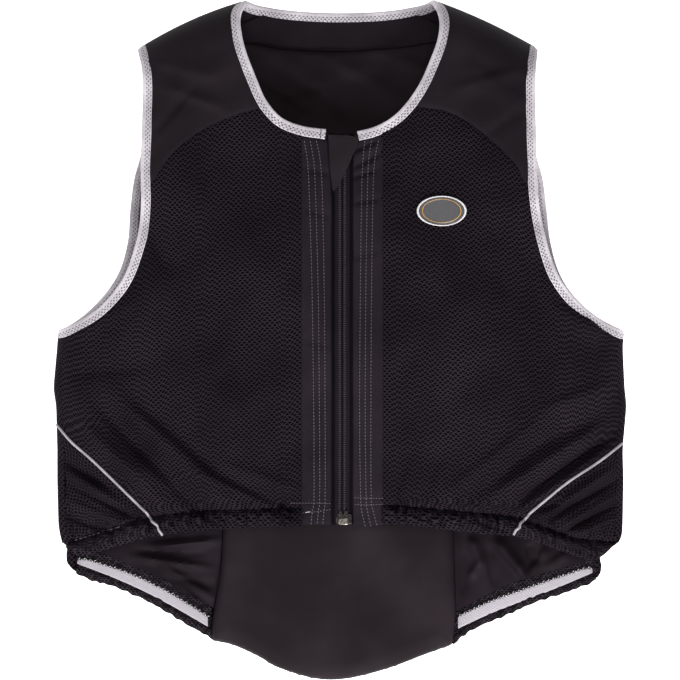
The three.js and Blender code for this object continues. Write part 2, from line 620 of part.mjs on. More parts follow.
// Front hem: a gathered elastic band below each front
function gatherRelief(x) {
  return GATHER_DEPTH * (1 + Math.sin((2 * Math.PI * x) / GATHER_PITCH));
}

for (const side of SIDES) {
  const sign = SIGN[side];
  const band = slab({
    turns: turnsOf(side, stations(turnAt(PLACKET_WIDTH - WINDOW_MARGIN), QUARTER, 44)),
    rises: [0.02, 0.09, 0.16],
    lowAlong: HEM_LOW_ALONG,
    from: -FRONT_WALL,
    to: 0,
    relief: gatherRelief,
  });
  const between = belowLine(HEM_SEAM[side], sign, -HALF_GAP).subtract(belowLine(HEM_EDGE[side], sign, 0));
  add(`front_hem_${side}`, band
    .intersect(between)
    .intersect(betweenPlacketAndSide(side, HALF_GAP))
    .subtract(pipingTube(side, PIPING_RADIUS + GAP)), MESH_CLOTH);
}

// Plackets beside the zip
const placketFoot = (PLACKET_FOOT_ALONG - 0.5) * LENGTH;
const CENTRE_RISES = stations(0, 1, 10);
for (const side of SIDES) {
  const sign = SIGN[side];
  const inner = placketInner(side);
  const ends = [sign * inner, sign * (inner + PLACKET_WIDTH - HALF_GAP)].sort((a, b) => a - b);
  const placket = slab({
    turns: turnsOf(side, [0, turnAt(inner + PLACKET_WIDTH + WINDOW_MARGIN)]),
    rises: CENTRE_RISES,
    lowAlong: FRONT_LOW_ALONG,
    from: -FRONT_WALL,
    to: PLACKET_LIFT,
  });
  const strip = columnBetween(ends[0], ends[1], placketFoot, FAR);
  add(`placket_${side}`, placket.intersect(strip).subtract(neckCloth), SMOOTH_CLOTH);
}

// Zip: tape, chain, retainer box at the foot and slider at the top
function zipStrip(centre, width, low, high, from, to) {
  const edge = turnAt(Math.max(ZIP_TAPE_LEFT, ZIP_TAPE_RIGHT) + WINDOW_MARGIN);
  const strip = slab({ turns: [-edge, edge], rises: CENTRE_RISES, lowAlong: FRONT_LOW_ALONG, from, to });
  return strip.intersect(columnBetween(centre - width / 2, centre + width / 2, low, high));
}

const zipTop = (ZIP_TOP_ALONG - 0.5) * LENGTH;
const tapeTop = -ZIP_TAPE_SINK;
const tapeWidth = ZIP_TAPE_LEFT + ZIP_TAPE_RIGHT;
const tapeCentre = (ZIP_TAPE_RIGHT - ZIP_TAPE_LEFT) / 2;
const chainBase = tapeTop + GAP;
const chainTop = chainBase + ZIP_CHAIN_WALL;
const sliderFoot = zipTop - ZIP_SLIDER_LENGTH;
const boxHead = placketFoot + ZIP_BOX_LENGTH;
const garageBase = PLACKET_LIFT + GAP;
add("zip_tape",
  zipStrip(tapeCentre, tapeWidth, placketFoot, zipTop, tapeTop - ZIP_TAPE_WALL, tapeTop), ZIP_BLACK);
add("zip_chain",
  zipStrip(ZIP_CENTRE, ZIP_CHAIN_WIDTH, boxHead + GAP, sliderFoot - GAP, chainBase, chainTop), ZIP_BLACK);
add("zip_box",
  zipStrip(ZIP_CENTRE, ZIP_BOX_WIDTH, placketFoot, boxHead, chainBase, chainBase + ZIP_BOX_WALL), ZIP_METAL);
add("zip_slider",
  zipStrip(ZIP_CENTRE, ZIP_SLIDER_WIDTH, sliderFoot, zipTop, chainBase, garageBase - GAP), ZIP_METAL);

// Zip garage: the small pointed flap over the slider
const garageTurn = turnAt(GARAGE_OUTLINE[1][0] * HALF_WIDTH + WINDOW_MARGIN);
const garage = slab({
  turns: [-garageTurn, 0, garageTurn],
  rises: stations(NECK_LOW_RISE - 0.1, 1, 4),
  lowAlong: FRONT_LOW_ALONG,
  from: garageBase,
  to: garageBase + GARAGE_WALL,
});
add("zip_garage", garage.intersect(prism(GARAGE_OUTLINE.map((row) => point(row)))), SMOOTH_CLOTH);

// Badge: a plain oval patch on the chest
const badgeCentre = point([BADGE_PLACE.across, BADGE_PLACE.along]);
const badgeOval = new THREE.EllipseCurve(badgeCentre.x, badgeCentre.y, BADGE_WIDTH / 2, BADGE_HEIGHT / 2);
const badgeWindow = BADGE_WIDTH / 2 + WINDOW_MARGIN;
add("badge", slab({
  turns: stations(turnAt(badgeCentre.x - badgeWindow), turnAt(badgeCentre.x + badgeWindow), 3),
  rises: stations(0.55, 0.85, 3),
  lowAlong: FRONT_LOW_ALONG,
  from: GAP,
  to: GAP + BADGE_WALL,
}).intersect(prism(badgeOval.getPoints(BADGE_STEPS).slice(1))), BADGE_RUBBER);

// Back: outer mesh shell that wraps round the side folds, smooth back yoke, and their bindings
const shell = slab({
  front: false,
  turns: [...mirrored(FOLD_TURNS), ...stations(-0.9, 0.9, 4), ...FOLD_TURNS],
  rises: [...HEM_RISES, 0.4, 0.5, 0.6, 0.8, 1, ...CREST_RISES],
  lowAlong: BACK_LOW_ALONG,
  from: -SHELL_WALL,
  to: 0,
});
const backCloth = shell
  .subtract(frontField())
  .subtract(armhole(BACK_ARMHOLE, "left", BINDING_WIDTH + HALF_GAP))
  .subtract(armhole(BACK_ARMHOLE, "right", BINDING_WIDTH + HALF_GAP))
  .subtract(backNeckHole(BINDING_WIDTH + HALF_GAP));
const cornerY = (HEM_CORNER_ALONG - 0.5) * LENGTH;
const belowHemCorner = prism(corners([[-FAR, -FAR], [FAR, -FAR], [FAR, cornerY], [-FAR, cornerY]]),
  SHELL_WALL + HALF_GAP, FAR);
add("back_shell", backCloth
  .subtract(aboveLine(BACK_YOKE_SEAM, 1, HALF_GAP))
  .subtract(belowHemCorner)
  .intersect(insideBackHem()), MESH_CLOTH);
add("back_yoke", backCloth.intersect(aboveLine(BACK_YOKE_SEAM, 1, -HALF_GAP)), SMOOTH_CLOTH);

for (const side of SIDES) {
  const bindingSlab = slab({
    front: false,
    turns: turnsOf(side, [turnAt(HALF_WIDTH / 2), 0.8, 1, ...FOLD_TURNS]),
    rises: [...stations(ARMHOLE_LOW_RISE, 1, 4), ...CREST_RISES],
    lowAlong: BACK_LOW_ALONG,
    from: -SHELL_WALL - BINDING_LIFT,
    to: -GAP,
  });
  const band = armhole(BACK_ARMHOLE, side, BINDING_WIDTH - HALF_GAP).subtract(armhole(BACK_ARMHOLE, side, 0));
  add(`armhole_binding_back_${side}`, bindingSlab.intersect(band).subtract(frontField()), BINDING_CLOTH);
}

const backNeckBand = backNeckHole(BINDING_WIDTH - HALF_GAP).subtract(backNeckHole(0));
add("neck_binding_back", slab({
  front: false,
  turns: stations(-0.42, 0.42, 6),
  rises: [0.9, 1, ...CREST_RISES],
  lowAlong: BACK_LOW_ALONG,
  from: -SHELL_WALL - BINDING_LIFT,
  to: -GAP,
}).intersect(backNeckBand), BINDING_CLOTH);

// Pad: the padded middle of the back, which runs down into the tail
const layerBase = SHELL_WALL + GAP;
const padRim = padCurve.getPoints(PAD_RIM_STEPS);
function padHeight(x, y) {
  const nearest = Math.min(...padRim.map((place) => Math.hypot(place.x - x, place.y - y)));
  const round = Math.sqrt(1 - (1 - clamp(nearest / PAD_EDGE_ROUND, 0, 1)) ** 2);
  const topY = (PAD_TOP_ALONG - 0.5) * LENGTH;
  const taper = Math.sin(clamp((topY - y) / PAD_TOP_TAPER, 0, 1) * QUARTER);
  return layerBase + PAD_EDGE_THICKNESS + (PAD_THICKNESS - PAD_EDGE_THICKNESS) * round * taper;
}

const padXs = [-0.48, -0.44, -0.41, -0.37, -0.3, -0.12, 0.12, 0.27, 0.34, 0.38, 0.41, 0.45]
  .map((share) => share * HALF_WIDTH);
const padYs = [-0.01, 0.015, 0.035, 0.055, 0.08, 0.12, 0.2, 0.36, 0.56, 0.76, 0.83, 0.87, 0.91, 0.94]
  .map((share) => (share - 0.5) * LENGTH);
const padTop = padYs.flatMap((y) => padXs.map((x) => new THREE.Vector3(x, y, padHeight(x, y))));
const padBase = padTop.map((place) => new THREE.Vector3(place.x, place.y, layerBase));
add("back_pad",
  closedGrid(padTop, padBase, padXs.length, padYs.length).intersect(insidePad(0)), LINING_CLOTH);

// Lining beside the pad, the facing above it, and the hem bands with their gripper tapes, all on the shell
const padField = insidePad(GAP);
function innerLayer(turns, rises, base, wall) {
  return slab({ front: false, turns, rises, lowAlong: BACK_LOW_ALONG, from: -base - wall, to: -base });
}

const facingReach = FACING_ACROSS * HALF_WIDTH;
const facingFoot = (FACING_FOOT_ALONG - 0.5) * LENGTH;
add("neck_facing", innerLayer(stations(-0.45, 0.45, 3), stations(0.86, 1, 2), layerBase, LINING_WALL)
  .intersect(columnBetween(-facingReach, facingReach, facingFoot, FAR))
  .subtract(backNeckHole(BINDING_WIDTH + HALF_GAP))
  .subtract(padField), LINING_CLOTH);

const facingField = columnBetween(-facingReach - GAP, facingReach + GAP, facingFoot, FAR);
const flankTurn = QUARTER - 0.4;
const LINING_TOP_RISE = 0.97;
const padFlank = turnAt(0.3 * HALF_WIDTH);
for (const side of SIDES) {
  const sign = SIGN[side];
  const edges = [sign * HALF_WIDTH * Math.sin(padFlank), sign * HALF_WIDTH * Math.sin(flankTurn)];
  const liningTurns = turnsOf(side, stations(padFlank, flankTurn, 5));
  const lining = innerLayer(liningTurns, stations(0.06, LINING_TOP_RISE, 8), layerBase, LINING_WALL);
  add(`back_lining_${side}`, lining
    .intersect(columnBetween(Math.min(...edges), Math.max(...edges)))
    .subtract(armhole(BACK_ARMHOLE, side, BINDING_WIDTH + GAP))
    .subtract(padField)
    .subtract(facingField)
    .subtract(belowLine(BAND_SEAM[side], sign, HALF_GAP)), LINING_CLOTH);

  const bandReach = GRIPPER[side].top[0][0] * HALF_WIDTH + BAND_END;
  const bandTurns = turnsOf(side, [padFlank, 0.6, 0.9, 1.05, ...FOLD_TURNS.slice(0, 3)]);
  add(`back_hem_${side}`, innerLayer(bandTurns, HEM_RISES, layerBase, BAND_WALL)
    .intersect(belowLine(BAND_SEAM[side], sign, -HALF_GAP))
    .intersect(insideBackHem())
    .intersect(columnBetween(-bandReach, bandReach))
    .subtract(padField), SMOOTH_CLOTH);

  const { top, low } = GRIPPER[side];
  const strip = prism([...line(top, sign, GRIPPER_STEPS), ...line(low, sign, GRIPPER_STEPS).reverse()]);
  const tape = innerLayer(bandTurns, HEM_RISES, layerBase + BAND_WALL + GAP, GRIPPER_WALL);
  add(`gripper_tape_${side}`, tape.intersect(strip), GRIPPER_TAPE);
}

// Centre the vest on its own footprint
const box = new THREE.Box3().setFromObject(root);
const middle = box.getCenter(new THREE.Vector3());
root.position.set(-middle.x, -middle.y, -box.min.z);

export default root;
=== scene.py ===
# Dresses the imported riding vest: knitted mesh fronts, smooth yokes, elastic bindings, plackets and zip, the
# padded back with its lining and gripper hem. Sizes are in millimetres until they are written to a mesh.
# Seams are rows of [across, along]: shares of HALF_WIDTH out from the zip and of LENGTH up from the tail.

import math

import bpy
import numpy as np
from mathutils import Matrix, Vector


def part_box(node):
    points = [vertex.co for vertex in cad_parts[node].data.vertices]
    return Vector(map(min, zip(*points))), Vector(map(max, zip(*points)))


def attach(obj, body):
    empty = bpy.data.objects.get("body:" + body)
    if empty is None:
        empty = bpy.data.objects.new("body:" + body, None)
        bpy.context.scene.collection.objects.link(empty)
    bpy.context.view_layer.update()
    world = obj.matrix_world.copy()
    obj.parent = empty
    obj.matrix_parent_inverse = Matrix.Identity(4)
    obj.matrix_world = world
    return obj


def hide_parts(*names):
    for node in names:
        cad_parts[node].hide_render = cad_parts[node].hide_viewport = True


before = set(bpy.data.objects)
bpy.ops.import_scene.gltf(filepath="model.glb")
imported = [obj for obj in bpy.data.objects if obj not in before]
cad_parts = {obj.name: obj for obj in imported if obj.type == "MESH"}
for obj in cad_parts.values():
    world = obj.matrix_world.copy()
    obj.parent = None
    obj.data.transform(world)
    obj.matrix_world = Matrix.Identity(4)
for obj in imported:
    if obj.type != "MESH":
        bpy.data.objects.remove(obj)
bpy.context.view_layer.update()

MM = 0.001
QUARTER = math.pi / 2

# Overall sizes, as in the solids
HALF_WIDTH = 244.0
LENGTH = 583.0
CHEST_HOLLOW = 31.0
FOLD_HEIGHT = 9.0
FOLD_RADIUS = 14.0
SHOULDER_RADIUS = 32.0
GAP = 0.3
FRONT_WALL = 3.0
SHELL_WALL = 2.0
LINING_WALL = 1.2
PAD_THICKNESS = 14.0
PAD_EDGE_THICKNESS = 4.0
PAD_EDGE_ROUND = 16.0
PAD_TOP_TAPER = 60.0
BAND_WALL = 1.6
GRIPPER_WALL = 0.9
BINDING_WIDTH = 8.0
BINDING_LIFT = 0.7
PLACKET_LIFT = 0.6
PLACKET_WIDTH = 25.5
SIDE_WRAP = 6.0
ZIP_TAPE_LEFT = 7.6
ZIP_TAPE_RIGHT = 9.6
ZIP_TAPE_SINK = 1.6
ZIP_CENTRE = 1.0
ZIP_BOX_LENGTH = 12.0
ZIP_TOP_ALONG = 0.792
PLACKET_FOOT_ALONG = 0.228
PAD_TOP_ALONG = 0.936
BADGE_WIDTH = 42.6
BADGE_HEIGHT = 26.0
BADGE_PLACE = (0.352, 0.689)
PAD_TOP = SHELL_WALL + GAP + PAD_THICKNESS
FRONT_LOW_ALONG = 0.15
BACK_LOW_ALONG = -0.012

# Columns: along, left reach, right reach, hollow, front fold, rear fold, fullness
SECTIONS = np.array([
    [0.0, 0.99, 0.955, 0.1, 0.1, 0.0, -0.6],
    [0.146, 0.99, 0.955, 0.12, 0.15, 0.0, -0.6],
    [0.176, 0.985, 0.955, 0.15, 0.8, 0.0, -0.55],
    [0.188, 0.98, 0.955, 0.17, 0.92, 0.3, -0.5],
    [0.198, 0.98, 0.975, 0.22, 1.0, 0.65, -0.45],
    [0.208, 0.989, 0.991, 0.26, 1.0, 1.0, -0.4],
    [0.227, 0.996, 0.993, 0.31, 1.0, 1.0, -0.3],
    [0.294, 1.0, 0.996, 0.5, 1.0, 1.0, 0.0],
    [0.338, 1.0, 0.993, 0.6, 1.0, 1.0, 0.15],
    [0.405, 1.004, 1.007, 0.8, 1.0, 1.0, 0.3],
    [0.427, 1.014, 1.0, 0.85, 1.0, 1.0, 0.32],
    [0.493, 1.0, 0.993, 0.96, 1.0, 1.0, 0.35],
    [0.516, 0.996, 1.0, 0.98, 1.0, 1.0, 0.35],
    [0.56, 1.0, 1.0, 1.0, 1.0, 1.0, 0.35],
    [0.7, 1.0, 1.0, 1.0, 1.0, 1.0, 0.35],
    [0.8, 1.0, 1.0, 0.92, 1.0, 1.0, 0.35],
    [1.0, 1.0, 1.0, 0.6, 1.0, 1.0, 0.3],
])
COLUMNS = {"left": 1, "right": 2, "hollow": 3, "fold": 4, "rear": 5, "full": 6}

# Soft ridges. Columns: from across, from along, to across, to along, width and height. Widths are shares of
# HALF_WIDTH, and each table's heights are multiplied by its scale
FRONT_FOLDS = [
    [-0.92, 0.345, -0.36, 0.255, 0.05, 0.13],
    [-0.95, 0.41, -0.45, 0.315, 0.06, 0.08],
    [-0.93, 0.3, -0.72, 0.215, 0.04, 0.09],
    [0.96, 0.3, 0.64, 0.225, 0.045, 0.12],
    [0.93, 0.37, 0.45, 0.27, 0.055, 0.09],
    [0.95, 0.45, 0.6, 0.37, 0.06, 0.06],
    [-0.6, 0.86, -0.42, 0.9, 0.04, 0.05],
    [0.62, 0.85, 0.44, 0.9, 0.04, 0.05],
]
FINE_FOLDS = [
    [-0.849, 0.402, -0.496, 0.25, 0.03, -0.1],
    [-0.884, 0.368, -0.62, 0.257, 0.026, 0.09],
    [-0.778, 0.412, -0.39, 0.264, 0.034, 0.07],
    [-0.708, 0.405, -0.444, 0.309, 0.024, -0.06],
    [-0.45, 0.304, -0.169, 0.25, 0.022, -0.06],
    [-0.5, 0.309, -0.285, 0.264, 0.018, 0.05],
    [-0.41, 0.316, -0.15, 0.279, 0.018, 0.04],
    [-0.979, 0.323, -0.824, 0.284, 0.013, -0.07],
    [-0.982, 0.309, -0.778, 0.257, 0.014, 0.07],
    [-0.954, 0.287, -0.708, 0.235, 0.013, -0.07],
    [-0.968, 0.264, -0.743, 0.225, 0.013, 0.06],
    [-0.975, 0.242, -0.813, 0.216, 0.012, -0.06],
    [0.958, 0.363, 0.63, 0.264, 0.018, -0.11],
    [0.947, 0.346, 0.648, 0.257, 0.014, 0.07],
    [0.912, 0.375, 0.56, 0.279, 0.028, 0.08],
    [0.771, 0.368, 0.489, 0.279, 0.022, -0.06],
    [0.7, 0.383, 0.384, 0.279, 0.028, 0.055],
    [0.349, 0.338, 0.278, 0.264, 0.018, -0.04],
    [0.26, 0.33, 0.21, 0.27, 0.018, 0.03],
    [0.746, 0.239, 0.972, 0.294, 0.014, -0.1],
    [0.771, 0.257, 0.975, 0.316, 0.014, 0.06],
    [0.789, 0.227, 0.982, 0.276, 0.013, 0.08],
    [0.796, 0.22, 0.982, 0.26, 0.01, -0.07],
    [0.824, 0.213, 0.986, 0.242, 0.01, 0.05],
    [0.7, 0.25, 0.78, 0.262, 0.016, -0.06],
    [-0.7, 0.915, -0.45, 0.885, 0.026, 0.035],
    [-0.62, 0.87, -0.42, 0.84, 0.02, 0.035],
    [-0.66, 0.8, -0.52, 0.87, 0.02, -0.03],
    [0.66, 0.9, 0.42, 0.87, 0.024, 0.035],
    [0.64, 0.84, 0.5, 0.8, 0.02, -0.03],
    [-0.95, 0.5, -0.72, 0.56, 0.03, 0.045],
    [-0.68, 0.66, -0.6, 0.6, 0.03, -0.04],
    [0.96, 0.5, 0.74, 0.55, 0.03, 0.045],
    [0.97, 0.44, 0.72, 0.4, 0.024, 0.04],
    [-0.98, 0.45, -0.7, 0.46, 0.03, -0.03],
]

SHOULDERS = {
    "left": dict(neck_across=0.342, neck_along=1.0, tip_across=0.718, tip_along=0.929, bow=0.007),
    "right": dict(neck_across=0.335, neck_along=1.0, tip_across=0.697, tip_along=0.929, bow=0.0045),
}
NECK_EDGE = {
    "left": [[0.327, 1.027], [0.335, 1.0], [0.352, 0.985], [0.356, 0.965], [0.345, 0.938], [0.324, 0.911],
             [0.296, 0.882], [0.264, 0.852], [0.211, 0.826], [0.137, 0.813], [0.053, 0.808]],
    "right": [[0.327, 1.027], [0.327, 1.0], [0.342, 0.985], [0.349, 0.965], [0.338, 0.938], [0.313, 0.91],
              [0.278, 0.877], [0.232, 0.848], [0.18, 0.826], [0.12, 0.812], [0.056, 0.805]],
}
BACK_NECK_EDGE = [[-0.356, 1.021], [-0.335, 1.001], [-0.25, 0.99], [-0.134, 0.984], [0.0, 0.982],
                  [0.137, 0.984], [0.243, 0.99], [0.317, 1.0], [0.338, 1.021]]
FRONT_ARMHOLE = {
    "left": [[0.729, 0.959], [0.718, 0.932], [0.697, 0.897], [0.694, 0.855], [0.697, 0.804], [0.701, 0.752],
             [0.699, 0.7], [0.708, 0.66], [0.729, 0.626], [0.761, 0.592], [0.81, 0.563], [0.873, 0.539],
             [0.937, 0.524], [1.0, 0.514], [1.13, 0.505]],
    "right": [[0.704, 0.959], [0.694, 0.932], [0.683, 0.897], [0.68, 0.855], [0.683, 0.796], [0.687, 0.737],
              [0.694, 0.697], [0.711, 0.66], [0.732, 0.626], [0.764, 0.592], [0.82, 0.561], [0.884, 0.538],
              [0.94, 0.523], [1.004, 0.513], [1.123, 0.504]],
}
BACK_ARMHOLE = {
    "left": [[0.729, 0.959], [0.718, 0.932], [0.687, 0.888], [0.683, 0.838], [0.701, 0.781], [0.729, 0.737],
             [0.743, 0.69], [0.75, 0.648], [0.775, 0.607], [0.813, 0.578], [0.866, 0.552], [0.926, 0.53],
             [1.0, 0.514], [1.13, 0.505]],
    "right": [[0.704, 0.959], [0.694, 0.932], [0.673, 0.888], [0.669, 0.838], [0.683, 0.781], [0.711, 0.737],
              [0.725, 0.69], [0.736, 0.648], [0.761, 0.607], [0.796, 0.578], [0.842, 0.555], [0.905, 0.533],
              [1.004, 0.513], [1.123, 0.504]],
}
YOKE_SEAM = {
    "left": [[1.2, 0.733], [0.72, 0.733], [0.658, 0.735], [0.627, 0.755], [0.567, 0.783], [0.482, 0.809],
             [0.391, 0.826], [0.299, 0.838], [0.144, 0.849]],
    "right": [[1.2, 0.727], [0.72, 0.727], [0.65, 0.73], [0.616, 0.755], [0.56, 0.78], [0.479, 0.809],
              [0.384, 0.833], [0.285, 0.841], [0.137, 0.849]],
}
BACK_YOKE_SEAM = [[-1.2, 0.76], [-0.69, 0.772], [-0.4, 0.806], [0.0, 0.82], [0.4, 0.806], [0.69, 0.772],
                  [1.2, 0.76]]
PIPING = {
    "left": [[1.018, 0.383], [0.989, 0.37], [0.947, 0.35], [0.873, 0.323], [0.743, 0.27], [0.676, 0.242],
             [0.627, 0.213]],
    "right": [[1.025, 0.359], [0.996, 0.35], [0.912, 0.323], [0.799, 0.292], [0.722, 0.266], [0.658, 0.242],
              [0.607, 0.214]],
}
HEM_SEAM = {
    "left": [[0.011, 0.256], [0.127, 0.253], [0.32, 0.25], [0.496, 0.247], [0.655, 0.239], [0.775, 0.225],
             [0.884, 0.211], [0.968, 0.199], [1.06, 0.194]],
    "right": [[0.011, 0.258], [0.141, 0.257], [0.313, 0.251], [0.489, 0.244], [0.613, 0.238], [0.718, 0.223],
              [0.824, 0.208], [0.937, 0.202], [1.053, 0.201]],
}
HEM_EDGE = {
    "left": [[0.011, 0.225], [0.18, 0.225], [0.415, 0.222], [0.62, 0.213], [0.711, 0.205], [0.803, 0.194],
             [0.891, 0.182], [0.968, 0.176], [1.06, 0.173]],
    "right": [[0.011, 0.226], [0.165, 0.229], [0.271, 0.226], [0.401, 0.219], [0.532, 0.213], [0.609, 0.211],
              [0.708, 0.199], [0.799, 0.185], [0.877, 0.174], [0.954, 0.173], [1.053, 0.173]],
}
BACK_HEM_EDGE = {
    "left": [[1.06, 0.204], [0.985, 0.201], [0.966, 0.195], [0.967, 0.186], [0.965, 0.171], [0.937, 0.158],
             [0.873, 0.146], [0.796, 0.137], [0.665, 0.112], [0.553, 0.084], [0.455, 0.061]],
    "right": [[1.053, 0.203], [0.965, 0.2], [0.93, 0.19], [0.914, 0.179], [0.919, 0.165], [0.901, 0.148],
              [0.806, 0.131], [0.683, 0.114], [0.592, 0.097], [0.468, 0.075], [0.394, 0.052]],
}
BAND_SEAM = {
    "left": [[1.06, 0.192], [0.919, 0.192], [0.835, 0.185], [0.743, 0.168], [0.627, 0.148], [0.553, 0.129],
             [0.43, 0.1], [0.2, 0.03]],
    "right": [[1.053, 0.182], [0.93, 0.18], [0.806, 0.167], [0.729, 0.158], [0.592, 0.14], [0.454, 0.111],
              [0.38, 0.094], [0.2, 0.05]],
}
GRIPPER_TOP = {
    "left": [[0.93, 0.174], [0.9, 0.1755], [0.819, 0.165], [0.743, 0.154], [0.627, 0.131], [0.514, 0.103],
             [0.464, 0.089]],
    "right": [[0.887, 0.1615], [0.86, 0.1618], [0.761, 0.148], [0.644, 0.131], [0.532, 0.114],
              [0.413, 0.091]],
}
GRIPPER_LOW = {
    "left": [[0.933, 0.17], [0.819, 0.152], [0.704, 0.131], [0.59, 0.106], [0.47, 0.077]],
    "right": [[0.891, 0.157], [0.761, 0.134], [0.644, 0.115], [0.532, 0.097], [0.413, 0.074]],
}
PAD_OUTLINE = [[0.394, 0.05], [0.405, 0.097], [0.401, 0.161], [0.398, 0.222], [0.401, 0.353],
               [0.412, 0.56], [0.426, 0.767], [0.408, 0.87], [0.377, 0.936], [0.19, 0.931], [0.0, 0.926],
               [-0.197, 0.929], [-0.384, 0.935], [-0.426, 0.87], [-0.444, 0.767], [-0.426, 0.56],
               [-0.415, 0.353], [-0.419, 0.219], [-0.426, 0.161], [-0.447, 0.106], [-0.458, 0.061],
               [-0.437, 0.055], [-0.384, 0.05], [-0.301, 0.035], [-0.217, 0.0155], [-0.09, 0.0],
               [0.02, 0.0], [0.162, 0.0145], [0.305, 0.037]]
GARAGE_OUTLINE = [[-0.046, 0.801], [0.056, 0.795], [0.035, 0.764], [0.011, 0.743], [-0.007, 0.727],
                  [-0.018, 0.722], [-0.032, 0.724]]
# Folds of the lining and of the pad below the neck, with heights before their scales
LINING_FOLDS = [
    [0.455, 0.205, 0.492, 0.172, 0.018, 2.0],
    [0.492, 0.175, 0.455, 0.15, 0.017, 1.7],
    [0.55, 0.2, 0.625, 0.163, 0.02, 2.5],
    [0.62, 0.168, 0.66, 0.14, 0.017, 2.0],
    [0.72, 0.19, 0.66, 0.15, 0.018, 1.7],
    [0.43, 0.18, 0.42, 0.13, 0.014, -1.4],
    [0.52, 0.19, 0.54, 0.14, 0.016, -1.4],
    [0.665, 0.195, 0.69, 0.17, 0.018, -1.6],
    [0.8, 0.185, 0.72, 0.165, 0.017, 1.2],
    [-0.45, 0.12, -0.62, 0.165, 0.016, 1.6],
    [-0.47, 0.165, -0.72, 0.18, 0.014, 1.5],
    [-0.44, 0.205, -0.66, 0.196, 0.014, 1.5],
    [-0.46, 0.1, -0.56, 0.135, 0.01, 1.2],
    [-0.45, 0.14, -0.6, 0.15, 0.012, -1.2],
    [-0.5, 0.185, -0.7, 0.19, 0.01, -1.2],
]
NECK_FOLDS = [
    [-0.28, 0.93, 0.02, 0.84, 0.035, 1.3],
    [-0.05, 0.92, 0.24, 0.84, 0.03, 1.4],
    [-0.2, 0.86, 0.1, 0.9, 0.03, 0.9],
    [0.1, 0.93, 0.33, 0.89, 0.022, 1.2],
    [-0.33, 0.9, -0.12, 0.84, 0.02, 1.0],
]

SIGN = {"left": -1, "right": 1}
SIDES = ("left", "right")

# Where the solids' page lies in the row frame
zip_box_low, zip_box_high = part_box("zip_box")
PLACKET_FOOT = (PLACKET_FOOT_ALONG - 0.5) * LENGTH
SHIFT = np.array([
    (zip_box_low[0] + zip_box_high[0]) / 2 / MM - ZIP_CENTRE,
    zip_box_low[1] / MM - PLACKET_FOOT,
    0.0,
])


# Camera straight above the page, far enough off for a square-on view
CAMERA_HEIGHT = 5000.0
PIXEL = 0.86
PICTURE = 680
SENSOR = 36.0
VIEW_LEVEL = 9.0
camera_data = bpy.data.cameras.new("camera")
camera = bpy.data.objects.new("camera", camera_data)
bpy.context.collection.objects.link(camera)
camera_data.sensor_width = SENSOR
camera_data.lens = SENSOR * (CAMERA_HEIGHT - VIEW_LEVEL) / (PIXEL * PICTURE)
camera_data.clip_end = 3 * CAMERA_HEIGHT * MM
camera.location = ((SHIFT[0] - PIXEL) * MM, SHIFT[1] * MM, CAMERA_HEIGHT * MM)
bpy.context.scene.camera = camera


# Surfaces of the front and the back
FINE_ALONG = np.linspace(0, 1, 1001)
EASE_WIDTH = 7


def eased(values):
    """A table column on the fine steps, with its corners eased."""
    stretched = np.interp(FINE_ALONG, SECTIONS[:, 0], values)
    kernel = np.exp(-0.5 * (np.arange(-3 * EASE_WIDTH, 3 * EASE_WIDTH + 1) / EASE_WIDTH) ** 2)
    padded = np.pad(stretched, 3 * EASE_WIDTH, mode="edge")
    return np.convolve(padded, kernel / kernel.sum(), mode="valid")


EASED = {name: eased(SECTIONS[:, column]) for name, column in COLUMNS.items()}


def section(name, y):
    return np.interp(y / LENGTH + 0.5, FINE_ALONG, EASED[name])


def up(along):
    """The height on the page of a share of LENGTH."""
    return (along - 0.5) * LENGTH


def reach(x, y):
    """How far out the side fold lies."""
    return HALF_WIDTH * np.where(x < 0, section("left", y), section("right", y))


def crest(x):
    """The height on the page of the shoulder."""
    heights = []
    for side in SIDES:
        row = SHOULDERS[side]
        share = (np.abs(x) / HALF_WIDTH - row["neck_across"]) / (row["tip_across"] - row["neck_across"])
        inner = np.clip(share, 0, 1)
        bow = row["bow"] * 4 * inner * (1 - inner)
        heights.append(up(row["neck_along"] + (row["tip_along"] - row["neck_along"]) * share + bow))
    return np.where(x < 0, heights[0], heights[1])


def smooth(value):
    share = np.clip(value, 0, 1)
    return share * share * (3 - 2 * share)


def bell(value):
    return np.exp(-value ** 2)


RIDGE_STEEP = 1.35
RIDGE_GENTLE = 0.8
RIDGE_FADE = 0.25


def ridges(x, y, rows, scale):
    """The lift of a table of soft folds, each steeper on one side and fading at its ends."""
    lift = np.zeros(np.shape(x))
    for from_across, from_along, to_across, to_along, width, height in rows:
        start_x, start_y = from_across * HALF_WIDTH, up(from_along)
        line_x, line_y = to_across * HALF_WIDTH - start_x, up(to_along) - start_y
        size = math.hypot(line_x, line_y)
        share = ((x - start_x) * line_x + (y - start_y) * line_y) / size ** 2
        aside = ((x - start_x) * line_y - (y - start_y) * line_x) / size
        aside = aside * np.where(aside > 0, RIDGE_STEEP, RIDGE_GENTLE)
        ends = smooth((share / RIDGE_FADE + 1) / 2) * smooth(((1 - share) / RIDGE_FADE + 1) / 2)
        lift = lift + height * scale * ends * bell(aside / (width * HALF_WIDTH))
    return lift


UNEVEN_WAVES = 6
UNEVEN_SPREAD = (0.7, 1.6)


def unevenness(x, y, size, seed):
    """Gentle waves in all directions, about one high, of roughly that size."""
    picks = np.random.default_rng(seed)
    total = np.zeros(np.shape(x))
    for _ in range(UNEVEN_WAVES):
        angle, phase = picks.uniform(0, 2 * math.pi, 2)
        length = size * picks.uniform(*UNEVEN_SPREAD)
        total = total + np.sin(2 * math.pi * (x * math.cos(angle) + y * math.sin(angle)) / length + phase)
    return total / math.sqrt(UNEVEN_WAVES)


def drifts(x, y, rows):
    """The sum of rows of height, size and seed."""
    return sum(height * unevenness(x, y, size, seed) for height, size, seed in rows)


